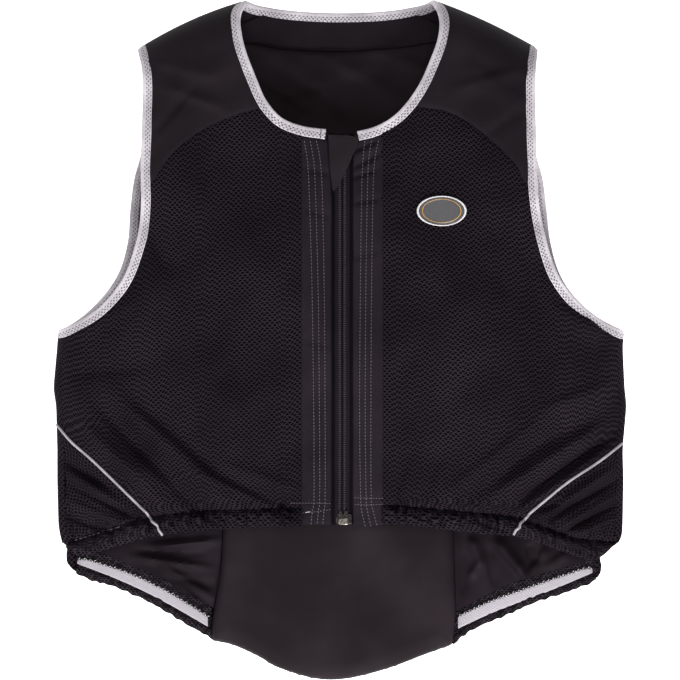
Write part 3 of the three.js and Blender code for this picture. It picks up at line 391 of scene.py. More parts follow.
def page(rows, sign=1):
    """Points on the page of rows of across and along."""
    rows = np.array(rows, float)
    return np.column_stack([sign * rows[:, 0] * HALF_WIDTH, up(rows[:, 1])])


def spline(points, steps):
    """A smooth line through the points."""
    last = len(points) - 1
    place = np.linspace(0, last, steps + 1)
    index = np.minimum(place.astype(int), last - 1)
    t = (place - index)[:, None]
    before = points[np.maximum(index - 1, 0)]
    start = points[index]
    end = points[index + 1]
    after = points[np.minimum(index + 2, last)]
    lean_in = (end - before) / 2
    lean_out = (after - start) / 2
    cubic = 2 * start - 2 * end + lean_in + lean_out
    square = -3 * start + 3 * end - 2 * lean_in - lean_out
    return cubic * t ** 3 + square * t ** 2 + lean_in * t + start


EDGE_STEPS = 160


def edge(rows, sign=1):
    return spline(page(rows, sign), EDGE_STEPS)


def level_of(rows, sign, x):
    """The height on the page of a seam that runs across it."""
    line = edge(rows, sign)
    order = np.argsort(line[:, 0])
    return np.interp(x, line[order, 0], line[order, 1])


GATHER_PITCH = 11.5
GATHER_SWINGS = ((1.3, 61, 0), (0.8, 27, 0))
GATHER_SWELL = (0.35, 43, 1)


def wave(x, height, pitch, phase):
    return height * np.sin(2 * math.pi * x / pitch + phase)


def gather_wave(x):
    """Uneven puckers across the page."""
    swing = 2 * math.pi * x / GATHER_PITCH + sum(wave(x, *row) for row in GATHER_SWINGS)
    return np.sin(swing) * (1 - GATHER_SWELL[0] + wave(x, *GATHER_SWELL))


FINE_FOLD_SCALE = 2.1 * CHEST_HOLLOW
FRONT_DRIFTS = [(1.1, 80, 3), (0.5, 34, 5)]
HEM_PULL = (1.3, 1.8)
HEM_TROUGH = (2.2, 2.8)
PULL_REACH = 13
FINE_REACH = 8
FINE_GATHER = (0.8, 6.3)
SLANTED_GATHER = (0.5, 0.6, 8.3, 5.3)
PLACKET_CLEAR = 30
PLACKET_FADE = 18


def front_relief(x, y):
    """Folds over the chest, and gathers that run out from the hem seam."""
    lift = ridges(x, y, FRONT_FOLDS, CHEST_HOLLOW) + ridges(x, y, FINE_FOLDS, FINE_FOLD_SCALE)
    lift = lift + drifts(x, y, FRONT_DRIFTS)
    seam = np.where(x < 0, level_of(HEM_SEAM["left"], -1, x), level_of(HEM_SEAM["right"], 1, x))
    away = np.abs(y - seam)
    beside = smooth((np.abs(x) - PLACKET_CLEAR) / PLACKET_FADE)
    pull = np.where(x < 0, *HEM_PULL)
    height, pitch = FINE_GATHER
    fine = height * np.sin(2 * math.pi * x / pitch + wave(x, 2, 37, 0))
    share, lean, pitch, waver = SLANTED_GATHER
    turned = x + lean * np.sign(x) * (y - seam)
    slanted = share * pull * np.sin(2 * math.pi * turned / pitch + 1.5 * np.sin(x / waver))
    gathers = pull * gather_wave(x) * np.exp(-away / PULL_REACH)
    gathers = gathers + (fine + slanted) * np.exp(-away / FINE_REACH)
    return lift + (gathers - HEM_TROUGH[0] * bell((y - seam) / HEM_TROUGH[1])) * beside


def front_height(x, y):
    """The height of the front's outer face over the page."""
    across = np.clip(np.abs(x) / reach(x, y), 0, 1)
    cosine = np.sqrt(1 - across * across)
    arch = cosine * (1 + section("full", y) * (1 - cosine))
    near = np.clip((crest(x) - y) / SHOULDER_RADIUS, 0, 1)
    closing = np.sqrt(1 - (1 - near) ** 2)
    crown = PAD_TOP + CHEST_HOLLOW * section("hollow", y) + FRONT_WALL
    fold = FOLD_HEIGHT * section("fold", y)
    lift = front_relief(x, y) * np.minimum(2 * cosine, 1)
    return fold + GAP / 2 * (1 - closing) + ((crown - fold) * arch + lift) * closing


def back_height(x, y):
    """The height of the back's outer face, which curls up at the side folds and the shoulder."""
    fold = FOLD_HEIGHT * section("rear", y)
    near_side = np.clip(1 - (reach(x, y) - np.abs(x)) / FOLD_RADIUS, 0, 1)
    near_crest = np.clip(1 - (crest(x) - y) / FOLD_RADIUS, 0, 1)
    near = np.minimum(np.hypot(near_side, near_crest), 1)
    return (fold - GAP / 2 * near_crest) * (1 - np.sqrt(1 - near * near))


def low_of(front):
    return up(FRONT_LOW_ALONG if front else BACK_LOW_ALONG)


def skin(front, turn, rise):
    """Points of the outer face. turn goes round the body from the zip, rise up to the shoulder crest."""
    flat_x = HALF_WIDTH * np.sin(turn)
    radius = SHOULDER_RADIUS if front else FOLD_RADIUS
    low_y = low_of(front)
    shoulder = crest(flat_x) - radius
    over = np.clip(rise - 1, 0, 1) * QUARTER
    y = low_y + (shoulder - low_y) * np.minimum(rise, 1) + radius * np.sin(over)
    x = reach(flat_x, y) * np.sin(turn)
    if front:
        z = front_height(x, y)
    else:
        z = np.where(np.abs(turn) > QUARTER, front_height(x, y), back_height(x, y))
    return np.stack([x, y, z], axis=-1)


PROBE = 0.002
TINY = 1e-12


def skin_frame(front, turn, rise):
    """Points of the outer face with its outward normals."""
    limit = QUARTER if front else math.pi
    low_turn, high_turn = np.maximum(turn - PROBE, -limit), np.minimum(turn + PROBE, limit)
    low_rise = np.where(rise > 2 - PROBE, rise - 2 * PROBE, rise - PROBE)
    high_rise = np.minimum(rise + PROBE, 2)
    east = skin(front, high_turn, rise) - skin(front, low_turn, rise)
    north = skin(front, turn, high_rise) - skin(front, turn, low_rise)
    normal = unit(np.cross(east, north))
    return skin(front, turn, rise), normal if front else -normal


def params_at(front, x, y):
    """The turn and rise of a place on the page."""
    turn = np.arcsin(np.clip(x / reach(x, y), -1, 1))
    radius = SHOULDER_RADIUS if front else FOLD_RADIUS
    low_y = low_of(front)
    shoulder = crest(HALF_WIDTH * np.sin(turn)) - radius
    bent = 1 + np.arcsin(np.clip((y - shoulder) / radius, 0, 1)) / QUARTER
    return turn, np.where(y < shoulder, (y - low_y) / (shoulder - low_y), bent)


# Distances from seams on the page
SAME_PLACE = 1e-6
CHUNK = 4000


def signed_distance(x, y, line):
    """Distance from a line, positive on its left."""
    start = line[:-1]
    step = line[1:] - start
    apart = np.hypot(step[:, 0], step[:, 1]) > SAME_PLACE
    start, step = start[apart], step[apart]
    flat_x, flat_y = np.ravel(x), np.ravel(y)
    result = np.empty(flat_x.shape)
    heading = unit(step)
    corners = np.vstack([heading[:1], heading[:-1] + heading[1:], heading[-1:]])
    for first in range(0, len(flat_x), CHUNK):
        dx = flat_x[first:first + CHUNK, None] - start[:, 0]
        dy = flat_y[first:first + CHUNK, None] - start[:, 1]
        share = np.clip((dx * step[:, 0] + dy * step[:, 1]) / (step ** 2).sum(axis=1), 0, 1)
        away_x = dx - share * step[:, 0]
        away_y = dy - share * step[:, 1]
        squared = away_x ** 2 + away_y ** 2
        best = squared.argmin(axis=1)
        rows = np.arange(len(best))
        along = share[rows, best]
        facing = np.where((along <= 0)[:, None], corners[best], heading[best])
        facing = np.where((along >= 1)[:, None], corners[best + 1], facing)
        side = facing[:, 0] * away_y[rows, best] - facing[:, 1] * away_x[rows, best]
        result[first:first + CHUNK] = np.sign(side) * np.sqrt(squared[rows, best])
    return result.reshape(np.shape(x))


def beyond(line, sign, margin):
    """Keeps what lies more than margin to the left (sign 1) or right (sign -1) of a line."""
    return lambda x, y: sign * signed_distance(x, y, line) - margin


def over_level(rows, sign, margin):
    return lambda x, y: y - level_of(rows, sign, x) - margin


def under_level(rows, sign, margin):
    return lambda x, y: level_of(rows, sign, x) - y - margin


def outside_of(limit, sign):
    """Keeps what is further out than a distance from the zip line."""
    return lambda x, y: sign * x - limit


def inside_fold(margin):
    return lambda x, y: reach(x, y) - SIDE_WRAP - margin - np.abs(x)


# Mesh making
SNAP = 0.2


def clip(carry, faces, keep, snap=SNAP):
    """Cuts faces along the zero line of keep, which is given at every vertex. carry: a row for each."""
    keep = np.where(np.abs(keep) < snap, 0.0, keep)
    values = keep.tolist()
    cuts = {}
    fresh = []
    kept = []
    for face in faces:
        inside = [values[index] >= 0 for index in face]
        if all(inside):
            kept.append(face)
            continue
        if not any(inside):
            continue
        ring = []
        for order, here in enumerate(face):
            there = face[(order + 1) % len(face)]
            if values[here] >= 0:
                ring.append(here)
            if values[here] * values[there] < 0:
                key = (min(here, there), max(here, there))
                if key not in cuts:
                    share = values[key[0]] / (values[key[0]] - values[key[1]])
                    cuts[key] = len(carry) + len(fresh)
                    fresh.append(carry[key[0]] * (1 - share) + carry[key[1]] * share)
                ring.append(cuts[key])
        if len(ring) > 2:
            kept.append(ring)
    if fresh:
        carry = np.vstack([carry, fresh])
    return carry, kept


def compact(carry, faces):
    """Leaves out what no face uses."""
    used = sorted({index for face in faces for index in face})
    renamed = {old: new for new, old in enumerate(used)}
    return carry[used], [[renamed[index] for index in face] for face in faces]


def largest_part(faces):
    """The faces of the biggest connected region."""
    owner = {}

    def root(index):
        while owner.setdefault(index, index) != index:
            owner[index] = owner[owner[index]]
            index = owner[index]
        return index

    for face in faces:
        first = root(face[0])
        for index in face[1:]:
            owner[root(index)] = first
    sizes = {}
    for face in faces:
        home = root(face[0])
        sizes[home] = sizes.get(home, 0) + 1
    biggest = max(sizes, key=sizes.get)
    return [face for face in faces if root(face[0]) == biggest]


def grid_faces(rows, columns, first=0):
    corner = (np.arange(rows - 1)[:, None] * columns + np.arange(columns - 1)).ravel() + first
    return np.column_stack([corner, corner + 1, corner + columns + 1, corner + columns]).tolist()


SHARP = 50


def make_object(name, points, faces, uvs, material, sharp=SHARP):
    """A mesh object in the row frame from points in millimetres, with a UV in metres at each vertex."""
    mesh = bpy.data.meshes.new(name)
    mesh.from_pydata(((np.asarray(points) + SHIFT) * MM).tolist(), [], faces)
    mesh.update()
    layer = mesh.uv_layers.new(name="UVMap")
    loops = np.empty(len(mesh.loops), int)
    mesh.loops.foreach_get("vertex_index", loops)
    layer.data.foreach_set("uv", (np.asarray(uvs) * MM)[loops].ravel())
    mesh.polygons.foreach_set("use_smooth", [True] * len(mesh.polygons))
    mesh.set_sharp_from_angle(angle=math.radians(sharp))
    mesh.materials.append(material)
    piece = bpy.data.objects.new(name, mesh)
    bpy.context.collection.objects.link(piece)
    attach(piece, "root")
    return piece


def close_slab(top, bottom, faces):
    """Points and faces of the closed solid between two copies of one patch."""
    count = len(top)
    directed = {}
    for face in faces:
        for order, here in enumerate(face):
            directed[(here, face[(order + 1) % len(face)])] = True
    closed = [list(face) for face in faces]
    closed += [[index + count for index in reversed(face)] for face in faces]
    for here, there in directed:
        if (there, here) not in directed:
            closed.append([there, here, here + count, there + count])
    return np.vstack([top, bottom]), closed


def patch_area(points, faces):
    """The area of flat faces, as fans of triangles."""
    total = 0.0
    for face in faces:
        corner = points[face[0]]
        for second, third in zip(face[1:-1], face[2:]):
            total += np.linalg.norm(np.cross(points[second] - corner, points[third] - corner)) / 2
    return total


def dress(piece, slot, *nodes):
    if nodes:
        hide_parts(*nodes)


SIZE_GROWTH = 1.01
LEAST_AREA_SHARE = 0.3
THIN_EDGE = 0.12


def declare_sheet(piece, size, area, held, rests_on):
    """Works out how big the sheet was cut, the cloth's own lengths across and along it and its area, and
    keeps none of it.
    """
    width, length = float(size[0]), float(size[1])
    while area > width * length:
        width *= SIZE_GROWTH
        length *= SIZE_GROWTH
    area = max(area, LEAST_AREA_SHARE * width * length)


def slab(name, front, patch, levels, material, slot, nodes, sheet=None, soft=(), lift=None, dent=None,
         grain=0.0):
    """A closed sheet that follows the front or the back, between two offsets from its outer face.
    soft: distances inside the edges that are rounded. lift moves both faces, dent the outer one.
    sheet: how the cloth is held and what it rests on, which nothing uses. grain: the turn of its pattern."""
    carry, faces = patch
    outer, inner = levels
    carry, faces = compact(carry, largest_part(faces))
    place, normal = skin_frame(front, carry[:, 0], carry[:, 1])
    x, y = place[:, 0], place[:, 1]
    half = (outer - inner) / 2
    level = (outer + inner) / 2 + (lift(x, y) if lift else 0)
    rounding = np.ones(len(x))
    for distance in soft:
        near = np.clip(distance(x, y) / half, 0, 1)
        rounding = np.minimum(rounding, np.sqrt(1 - (1 - near) ** 2))
    rounding = np.maximum(rounding, THIN_EDGE)
    top = place + normal * (level + half * rounding + (dent(x, y) if dent else 0))[:, None]
    bottom = place + normal * (level - half * rounding)[:, None]
    points, closed = close_slab(top, bottom, faces)
    if not front:
        closed = [face[::-1] for face in closed]
    cloth = carry[:, 2:4]
    cosine, sine = math.cos(grain), math.sin(grain)
    turned = cloth @ np.array([[cosine, sine], [-sine, cosine]])
    piece = make_object(name, points, closed, np.vstack([turned, turned]), material)
    dress(piece, slot, *nodes)
    if sheet:
        size = (cloth.max(axis=0) - cloth.min(axis=0)) * MM
        declare_sheet(piece, size, patch_area(top, faces) * MM * MM, *sheet)


def with_arc_lengths(front, turn, rise):
    """A grid of turns and rises with the cloth's own lengths along both ways, from the zip line."""
    points = skin(front, turn, rise)
    u = np.zeros(turn.shape)
    v = np.zeros(turn.shape)
    u[:, 1:] = np.cumsum(np.linalg.norm(np.diff(points, axis=1), axis=2), axis=1)
    v[1:] = np.cumsum(np.linalg.norm(np.diff(points, axis=0), axis=2), axis=0)
    column = int(np.argmin(np.abs(points[0, :, 0])))
    u += points[:, column:column + 1, 0] - u[:, column:column + 1]
    v += points[0, :, 1][None, :]
    return np.column_stack([turn.ravel(), rise.ravel(), u.ravel(), v.ravel()])


SHOULDER_AT = 40.0
BEND_ROWS = 15


def cut_patch(front, xs, ys, keeps, wraps=()):
    """A grid over a window of the page, cut to the regions that every keep leaves."""
    turns = np.arcsin(np.clip(xs / HALF_WIDTH, -1, 1))
    turns = np.concatenate([wraps[0], turns, wraps[1]]) if wraps else turns
    shoulder = crest(np.array(SHOULDER_AT)) - (SHOULDER_RADIUS if front else FOLD_RADIUS)
    low_y = low_of(front)
    rises = [(y - low_y) / (shoulder - low_y) for y in ys if y < shoulder]
    if max(ys) >= shoulder:
        rises += [1.0 + bend for bend in np.linspace(0, 1, BEND_ROWS)]
    turn, rise = np.meshgrid(turns, np.array(rises))
    carry = with_arc_lengths(front, turn, rise)
    faces = grid_faces(*turn.shape)
    for keep in keeps:
        points = skin(front, carry[:, 0], carry[:, 1])
        carry, faces = compact(*clip(carry, faces, keep(points[:, 0], points[:, 1])))
    return carry, faces


def ruled_patch(front, low_line, high_line, steps):
    """A grid between two lines of page points, both given from left to right."""
    share = np.linspace(0, 1, steps + 1)[:, None, None]
    points = low_line[None] * (1 - share) + high_line[None] * share
    turn, rise = params_at(front, points[..., 0], points[..., 1])
    return with_arc_lengths(front, turn, rise), grid_faces(*turn.shape)


def span(start, end, step):
    return np.linspace(start, end, max(int(round(abs(end - start) / step)), 1) + 1)


def side_span(sign, start, end, step):
    """Steps across one side of the page, from left to right."""
    return np.sort(sign * span(start, end, step))


def across_line(x, y):
    return np.column_stack([x, np.broadcast_to(y, x.shape)])


# Paths on the cloth, and what is swept or sewn along them
def on_cloth(front, points, offset):
    """Points and normals of page points on the front or back, moved along the normal."""
    turn, rise = params_at(front, points[:, 0], points[:, 1])
    place, normal = skin_frame(front, turn, rise)
    return place + normal * offset, normal


LEAST_GAP = 1e-4


def resample(points, normals, spacing, closed=False):
    """The path at even steps, with its normals."""
    if closed:
        points = np.vstack([points, points[:1]])
        normals = np.vstack([normals, normals[:1]])
    gaps = np.linalg.norm(np.diff(points, axis=0), axis=1)
    keep = np.concatenate([[True], gaps > LEAST_GAP])
    points, normals = points[keep], normals[keep]
    length = np.concatenate([[0], np.cumsum(np.linalg.norm(np.diff(points, axis=0), axis=1))])
    count = max(int(round(length[-1] / spacing)), 2)
    places = np.linspace(0, length[-1], count + 1)
    places = places[:-1] if closed else places
    fresh, turned = [
        np.column_stack([np.interp(places, length, values[:, axis]) for axis in range(3)])
        for values in (points, normals)]
    return fresh, unit(turned)


def unit(vectors):
    return vectors / (np.linalg.norm(vectors, axis=-1, keepdims=True) + TINY)


def relax(values, rounds, closed):
    """Evens out a path's rows, a little each round."""
    for _ in range(rounds):
        if closed:
            before, after = np.roll(values, 1, axis=0), np.roll(values, -1, axis=0)
            values = values * 0.5 + (before + after) * 0.25
        else:
            inner = values[1:-1] * 0.5 + (values[:-2] + values[2:]) * 0.25
            values = np.vstack([values[:1], inner, values[-1:]])
    return values


def axes_along(points, normals, inward, closed):
    """Tangents, sideways directions and normals of a path. inward: 1 or -1, the side of the path."""
    if closed:
        tangent = unit(np.roll(points, -1, axis=0) - np.roll(points, 1, axis=0))
    else:
        tangent = unit(np.gradient(points, axis=0))
    side = unit(np.cross(normals, tangent)) * inward
    normal = unit(np.cross(tangent, side)) * inward
    return tangent, side, normal


def sweep(name, points, normals, section_points, inward, closed, material):
    """Sweeps a closed section, given as [inward, outward] offsets, along a path on the cloth."""
    _, side, normal = axes_along(points, normals, inward, closed)
    shape = np.asarray(section_points)
    rings = points[:, None] + side[:, None] * shape[None, :, :1] + normal[:, None] * shape[None, :, 1:]
    count, around = rings.shape[:2]
    lengths = np.concatenate([[0], np.cumsum(np.linalg.norm(np.diff(points, axis=0), axis=1))])
    uvs = np.stack([np.repeat(lengths, around), np.tile(shape[:, 0], count)], axis=1)
    faces = []
    for ring in range(count if closed else count - 1):
        after = (ring + 1) % count
        for spot in range(around):
            beside = (spot + 1) % around
            faces.append([ring * around + spot, ring * around + beside, after * around + beside,
                          after * around + spot])
    if not closed:
        faces.append(list(range(around))[::-1])
        faces.append([(count - 1) * around + spot for spot in range(around)])
    if inward > 0:
        faces = [face[::-1] for face in faces]
    piece = make_object(name, rings.reshape(-1, 3), faces, uvs, material)
    if closed:
        full = lengths[-1] + np.linalg.norm(points[0] - points[-1])
        layer = piece.data.uv_layers["UVMap"]
        for polygon in piece.data.polygons[(count - 1) * around:count * around]:
            for loop in polygon.loop_indices:
                if piece.data.loops[loop].vertex_index < around:
                    layer.data[loop].uv[0] = full * MM
    return piece


# Stations of a short thread between its tips: share along and share of the radius
CAPSULE_STATIONS = [(-0.42, 0.75), (0.0, 1.0), (0.42, 0.75)]
CAPSULE_SIDES = 6


def capsule(length, radius):
    """A short thread: points along x, rounded at both ends, and its faces."""
    points = [[-0.5 * length, 0, 0]]
    for share, size in CAPSULE_STATIONS:
        for spot in range(CAPSULE_SIDES):
            angle = 2 * math.pi * spot / CAPSULE_SIDES
            points.append([share * length, size * radius * math.cos(angle), size * radius * math.sin(angle)])
    points.append([0.5 * length, 0, 0])
    last = len(points) - 1
    faces = []
    for spot in range(CAPSULE_SIDES):
        beside = (spot + 1) % CAPSULE_SIDES
        faces.append([0, 1 + beside, 1 + spot])
        for ring in range(len(CAPSULE_STATIONS) - 1):
            first = 1 + ring * CAPSULE_SIDES
            after = first + CAPSULE_SIDES
            faces.append([first + spot, first + beside, after + beside, after + spot])
        first = last - CAPSULE_SIDES
        faces.append([last, first + spot, first + beside])
    return np.array(points), faces


def threads(name, places, directions, normals, length, radius, material):
    """Many short threads as one piece."""
    shape, faces = capsule(length, radius)
    across = unit(np.cross(normals, directions))
    up_way = unit(np.cross(directions, across))
    axes = np.stack([directions, across, up_way], axis=1)
    points = places[:, None] + np.einsum("sa,nax->nsx", shape, axes)
    every = []
    for first in range(0, len(places) * len(shape), len(shape)):
        every += [[index + first for index in face] for face in faces]
    flat = points.reshape(-1, 3)
    return make_object(name, flat, every, flat[:, :2], material, sharp=80)


STITCH_PARTS = 4


def sewn_row(points, normals, pitch, slant=0.0, swing=0.0):
    """Places, directions and normals of one row of stitches. slant turns alternate ones to and fro."""
    fine, turned = resample(points, normals, pitch / STITCH_PARTS)
    middle = slice(STITCH_PARTS // 2, None, STITCH_PARTS)
    tangent, side, normal = [axis[middle] for axis in axes_along(fine, turned, 1, False)]
    flip = np.where(np.arange(len(tangent)) % 2 == 0, 1.0, -1.0)[:, None]
    direction = unit(tangent * math.cos(slant) + side * math.sin(slant) * flip)
    return fine[middle] + side * swing * flip, direction, normal


def sew(name, rows, length, radius, material, slot="binding_cloth", nodes=()):
    """Rows of stitches as one piece."""
    places, directions, normals = [np.vstack(parts) for parts in zip(*rows)]
    dress(threads(name, places, directions, normals, length, radius, material), slot, *nodes)


# Materials
def linear(red, green, blue):
    """A colour of the photograph's 0 to 255 scale as light."""
    channels = []
    for value in (red, green, blue):
        share = value / 255
        channels.append(share / 12.92 if share <= 0.04045 else ((share + 0.055) / 1.055) ** 2.4)
    return (*channels, 1.0)


class Value:
    """What leaves a node, with arithmetic that adds further nodes."""

    def __init__(self, shade, socket):
        self.shade = shade
        self.socket = socket

    def __add__(self, other):
        return self.shade.math("ADD", self, other)

    def __sub__(self, other):
        return self.shade.math("SUBTRACT", self, other)

    def __mul__(self, other):
        return self.shade.math("MULTIPLY", self, other)

    def __truediv__(self, other):
        return self.shade.math("DIVIDE", self, other)


class Shade:
    """A small helper around one material's nodes. Colours are of the 0 to 255 scale."""

    def __init__(self, name, roughness, specular, metallic=0.0, sheen=0.0):
        self.material = bpy.data.materials.new(name)
        self.material.use_nodes = True
        self.tree = self.material.node_tree
        self.shader = self.tree.nodes["Principled BSDF"]
        numbers = {"Roughness": roughness, "Specular IOR Level": specular, "Metallic": metallic,
                   "Sheen Weight": sheen, "Sheen Roughness": 0.5}
        for socket, number in numbers.items():
            self.shader.inputs[socket].default_value = number

    def link(self, value, socket):
        if isinstance(value, Value):
            self.tree.links.new(value.socket, socket)
        else:
            socket.default_value = linear(*value) if isinstance(value, tuple) else value

    def node(self, kind, output, inputs, **settings):
        """One output of a new node."""
        made = self.tree.nodes.new("ShaderNode" + kind)
        for name, value in settings.items():
            setattr(made, name, value)
        for socket, value in inputs.items():
            self.link(value, made.inputs[socket])
        return Value(self, made.outputs[output])

    def math(self, operation, first, second=0.0):
        return self.node("Math", 0, {0: first, 1: second}, operation=operation)

    def uv(self):
        vector = self.node("UVMap", "UV", {}, uv_map="UVMap")
        u = self.node("SeparateXYZ", "X", {0: vector})
        return vector, u, Value(self, u.socket.node.outputs["Y"])

    def noise(self, vector, scale, detail=2.0, roughness=0.5):
        return self.node("TexNoise", "Fac", {
            "Vector": vector, "Scale": scale, "Detail": detail, "Roughness": roughness})

    def ribs(self, value, pitch):
        return self.math("SINE", value * (2 * math.pi / pitch))

    def between(self, value, low, high, to_low=0.0, to_high=1.0, eased=True):
        return self.node("MapRange", "Result", {
            "Value": value, "From Min": low, "From Max": high, "To Min": to_low, "To Max": to_high,
        }, interpolation_type="SMOOTHSTEP" if eased else "LINEAR")

    def blend(self, factor, first, second):
        return self.node("Mix", "Result", {"Factor": factor, "A": first, "B": second}, data_type="RGBA")

    def finish(self, colour, bumps):
        """Sets the colour, and bumps on top of each other as pairs of height and depth in metres."""
        self.link(colour, self.shader.inputs["Base Color"])
        below = None
        for height, depth in bumps:
            inputs = {"Strength": 1.0, "Distance": depth, "Height": height}
            if below:
                inputs["Normal"] = below
            below = self.node("Bump", "Normal", inputs)
        self.link(below, self.shader.inputs["Normal"])
        return self.material


def lattice(u, v, pitch, rows, width, height):
    """Distance from the nearest of staggered ovals, of half sizes width and height."""
    distances = []
    for offset in (0.0, 0.5):
        across = (u.shade.math("FRACT", u / pitch + offset) - 0.5) * (pitch / width)
        along = (u.shade.math("FRACT", v / (2 * rows) + offset) - 0.5) * (2 * rows / height)
        distances.append(u.shade.math("SQRT", across * across + along * along))
    return u.shade.math("MINIMUM", *distances)


def mesh_cloth():
    shade = Shade("mesh_cloth", roughness=0.76, specular=0.025)
    vector, u, v = shade.uv()
    u = u + (shade.noise(vector, scale=45.0) - 0.5) * 0.001
    v = v + (shade.noise(vector, scale=60.0, detail=1.0) - 0.5) * 0.0006
    distance = lattice(u, v, pitch=0.0044, rows=0.0022, width=0.00136, height=0.00086)
    strands = shade.noise(vector, scale=1500.0)
    yarn = shade.between(distance + (strands - 0.5) * 0.5, 0.86, 1.12)
    lit = shade.between(strands * 0.7 + shade.noise(vector, scale=14.0, detail=3.0) * 0.6, 0.35, 0.95)
    knit = shade.blend(lit, (14, 10, 14), (38, 31, 38))
    return shade.finish(shade.blend(yarn, (1, 1, 1), knit), [(yarn, 0.00045), (strands, 0.00016)])


def smooth_cloth(name, dark, light):
    shade = Shade(name, roughness=0.66, specular=0.06)
    vector, u, v = shade.uv()
    thread = 0.0006
    weave = shade.between(shade.ribs(u, thread) * shade.ribs(v, thread), -1.0, 1.0, eased=False)
    patches = shade.noise(vector, scale=16.0, detail=4.0)
    specks = shade.noise(vector, scale=1500.0)
    mixed = shade.between(patches * 0.6 + specks * 0.4, 0.3, 0.75)
    bumps = [(patches, 0.0016), (weave, 0.00012), (specks, 0.00008)]
    return shade.finish(shade.blend(mixed, dark, light), bumps)


def lining_cloth(name, dark, light, roughness):
    shade = Shade(name, roughness, specular=0.035)
    vector, u, v = shade.uv()
    ribs = shade.between(shade.ribs(u, 0.0009), -1.0, 1.0, eased=False)
    specks = shade.noise(vector, scale=1100.0)
    mixed = shade.between(shade.noise(vector, scale=11.0, detail=3.0), 0.35, 0.7)
    creases = shade.noise(vector, scale=28.0, detail=3.0, roughness=0.4)
    bumps = [(creases, 0.0015), (ribs, 0.00008), (specks, 0.00006)]
    return shade.finish(shade.blend(mixed, dark, light), bumps)


def binding_cloth():
    """Elastic tape with a net of holes between its two edges."""
    shade = Shade("binding_cloth", roughness=0.8, specular=0.25, sheen=0.15)
    vector, u, v = shade.uv()
    marks = lattice(u, v, pitch=0.0034, rows=0.0017, width=0.00075, height=0.00055)
    hole = shade.between(marks, 1.5, 0.6)
    hole = hole * (shade.between(v, 0.0028, 0.0034) * shade.between(v, 0.0079, 0.0074))
    fuzz = shade.noise(vector, scale=900.0, detail=3.0)
    tone = shade.between(fuzz + shade.noise(vector, scale=40.0), 0.75, 1.3)
    body = shade.blend(tone, (152, 146, 152), (192, 186, 192))
    bumps = [(shade.math("SUBTRACT", 1.0, hole), 0.00018), (shade.ribs(v, 0.0008), 0.00006), (fuzz, 0.0002)]
    return shade.finish(shade.blend(hole, body, (70, 65, 70)), bumps)


def gripper_tape():
    shade = Shade("gripper_tape", roughness=0.55, specular=0.35)
    vector, u, v = shade.uv()
    ribbed = shade.between(shade.ribs(v, 0.0012), -1.0, 1.0)
    fuzz = shade.noise(vector, scale=700.0, detail=3.0)
    tone = shade.between(ribbed * 0.5 + fuzz * 0.5, 0.2, 0.8)
    colour = shade.blend(tone, (130, 124, 131), (168, 162, 169))
    return shade.finish(colour, [(ribbed, 0.00025), (fuzz, 0.00015)])


def piping_cord():
    shade = Shade("piping_cord", roughness=0.45, specular=0.5)
    vector, u, v = shade.uv()
    grain = shade.noise(vector, scale=1400.0)
    tone = shade.between(grain + shade.noise(vector, scale=60.0), 0.7, 1.3)
    return shade.finish(shade.blend(tone, (104, 98, 104), (146, 140, 146)), [(grain, 0.00012)])


def band_cloth():
    """Knitted rib of the back hem, with small holes."""
    shade = Shade("band_cloth", roughness=0.75, specular=0.05)
    vector, u, v = shade.uv()
    distance = lattice(u, v, pitch=0.0038, rows=0.0019, width=0.00125, height=0.0007)
    strands = shade.noise(vector, scale=1300.0)
    yarn = shade.between(distance + (strands - 0.5) * 0.8, 0.75, 1.2)
    lit = shade.between(shade.noise(vector, scale=260.0, detail=3.0), 0.35, 0.65)
    colour = shade.blend(yarn, (3, 2, 3), shade.blend(lit, (15, 11, 15), (44, 38, 44)))
    return shade.finish(colour, [(yarn, 0.0008), (lit, 0.0006), (strands, 0.0002)])


def zip_black():
    """Twill tape, with painted shade in the grooves on each side of the coil, out to the plackets."""
    shade = Shade("zip_black", roughness=0.7, specular=0.04)
    vector, u, v = shade.uv()
    twill = shade.ribs(u + v, 0.0011)
    fuzz = shade.noise(vector, scale=1800.0)
    cloth = shade.blend(shade.between(twill * 0.25 + fuzz, 0.2, 0.9), (14, 9, 14), (30, 24, 30))
    # Painted shade: the tape turns near black from 5.2 mm out from the coil's middle, where the grooves lie.
    painted_groove_shade = shade.between(shade.math("ABSOLUTE", u - ZIP_CENTRE * MM), 0.0052, 0.0068)
    return shade.finish(shade.blend(painted_groove_shade, cloth, (5, 3, 5)), [(twill, 0.00008), (fuzz, 0.0001)])


def grained(name, dark, light, roughness, specular, scale, depth, detail=2.0, sheen=0.0, shine=None):
    """A plain material with a fine grain. shine: a metal's roughness at its dark and its light grains."""
    shade = Shade(name, roughness, specular, 1.0 if shine else 0.0, sheen)
    grain = shade.noise(shade.node("TexCoord", "Object", {}), scale, detail)
    if shine:
        shade.link(shade.between(grain, 0.3, 0.7, *shine), shade.shader.inputs["Roughness"])
    return shade.finish(shade.blend(grain, dark, light), [(grain, depth)])


MOULDED = dict(roughness=0.45, specular=0.4, scale=1300.0, depth=0.00006)
COIL = dict(MOULDED, roughness=0.6)
POLISHED = dict(roughness=0.3, specular=0.5, scale=900.0, depth=0.00005, detail=3.0, shine=(0.22, 0.42))
SPUN = dict(roughness=0.6, specular=0.3, scale=2200.0, depth=0.00008, sheen=0.1)

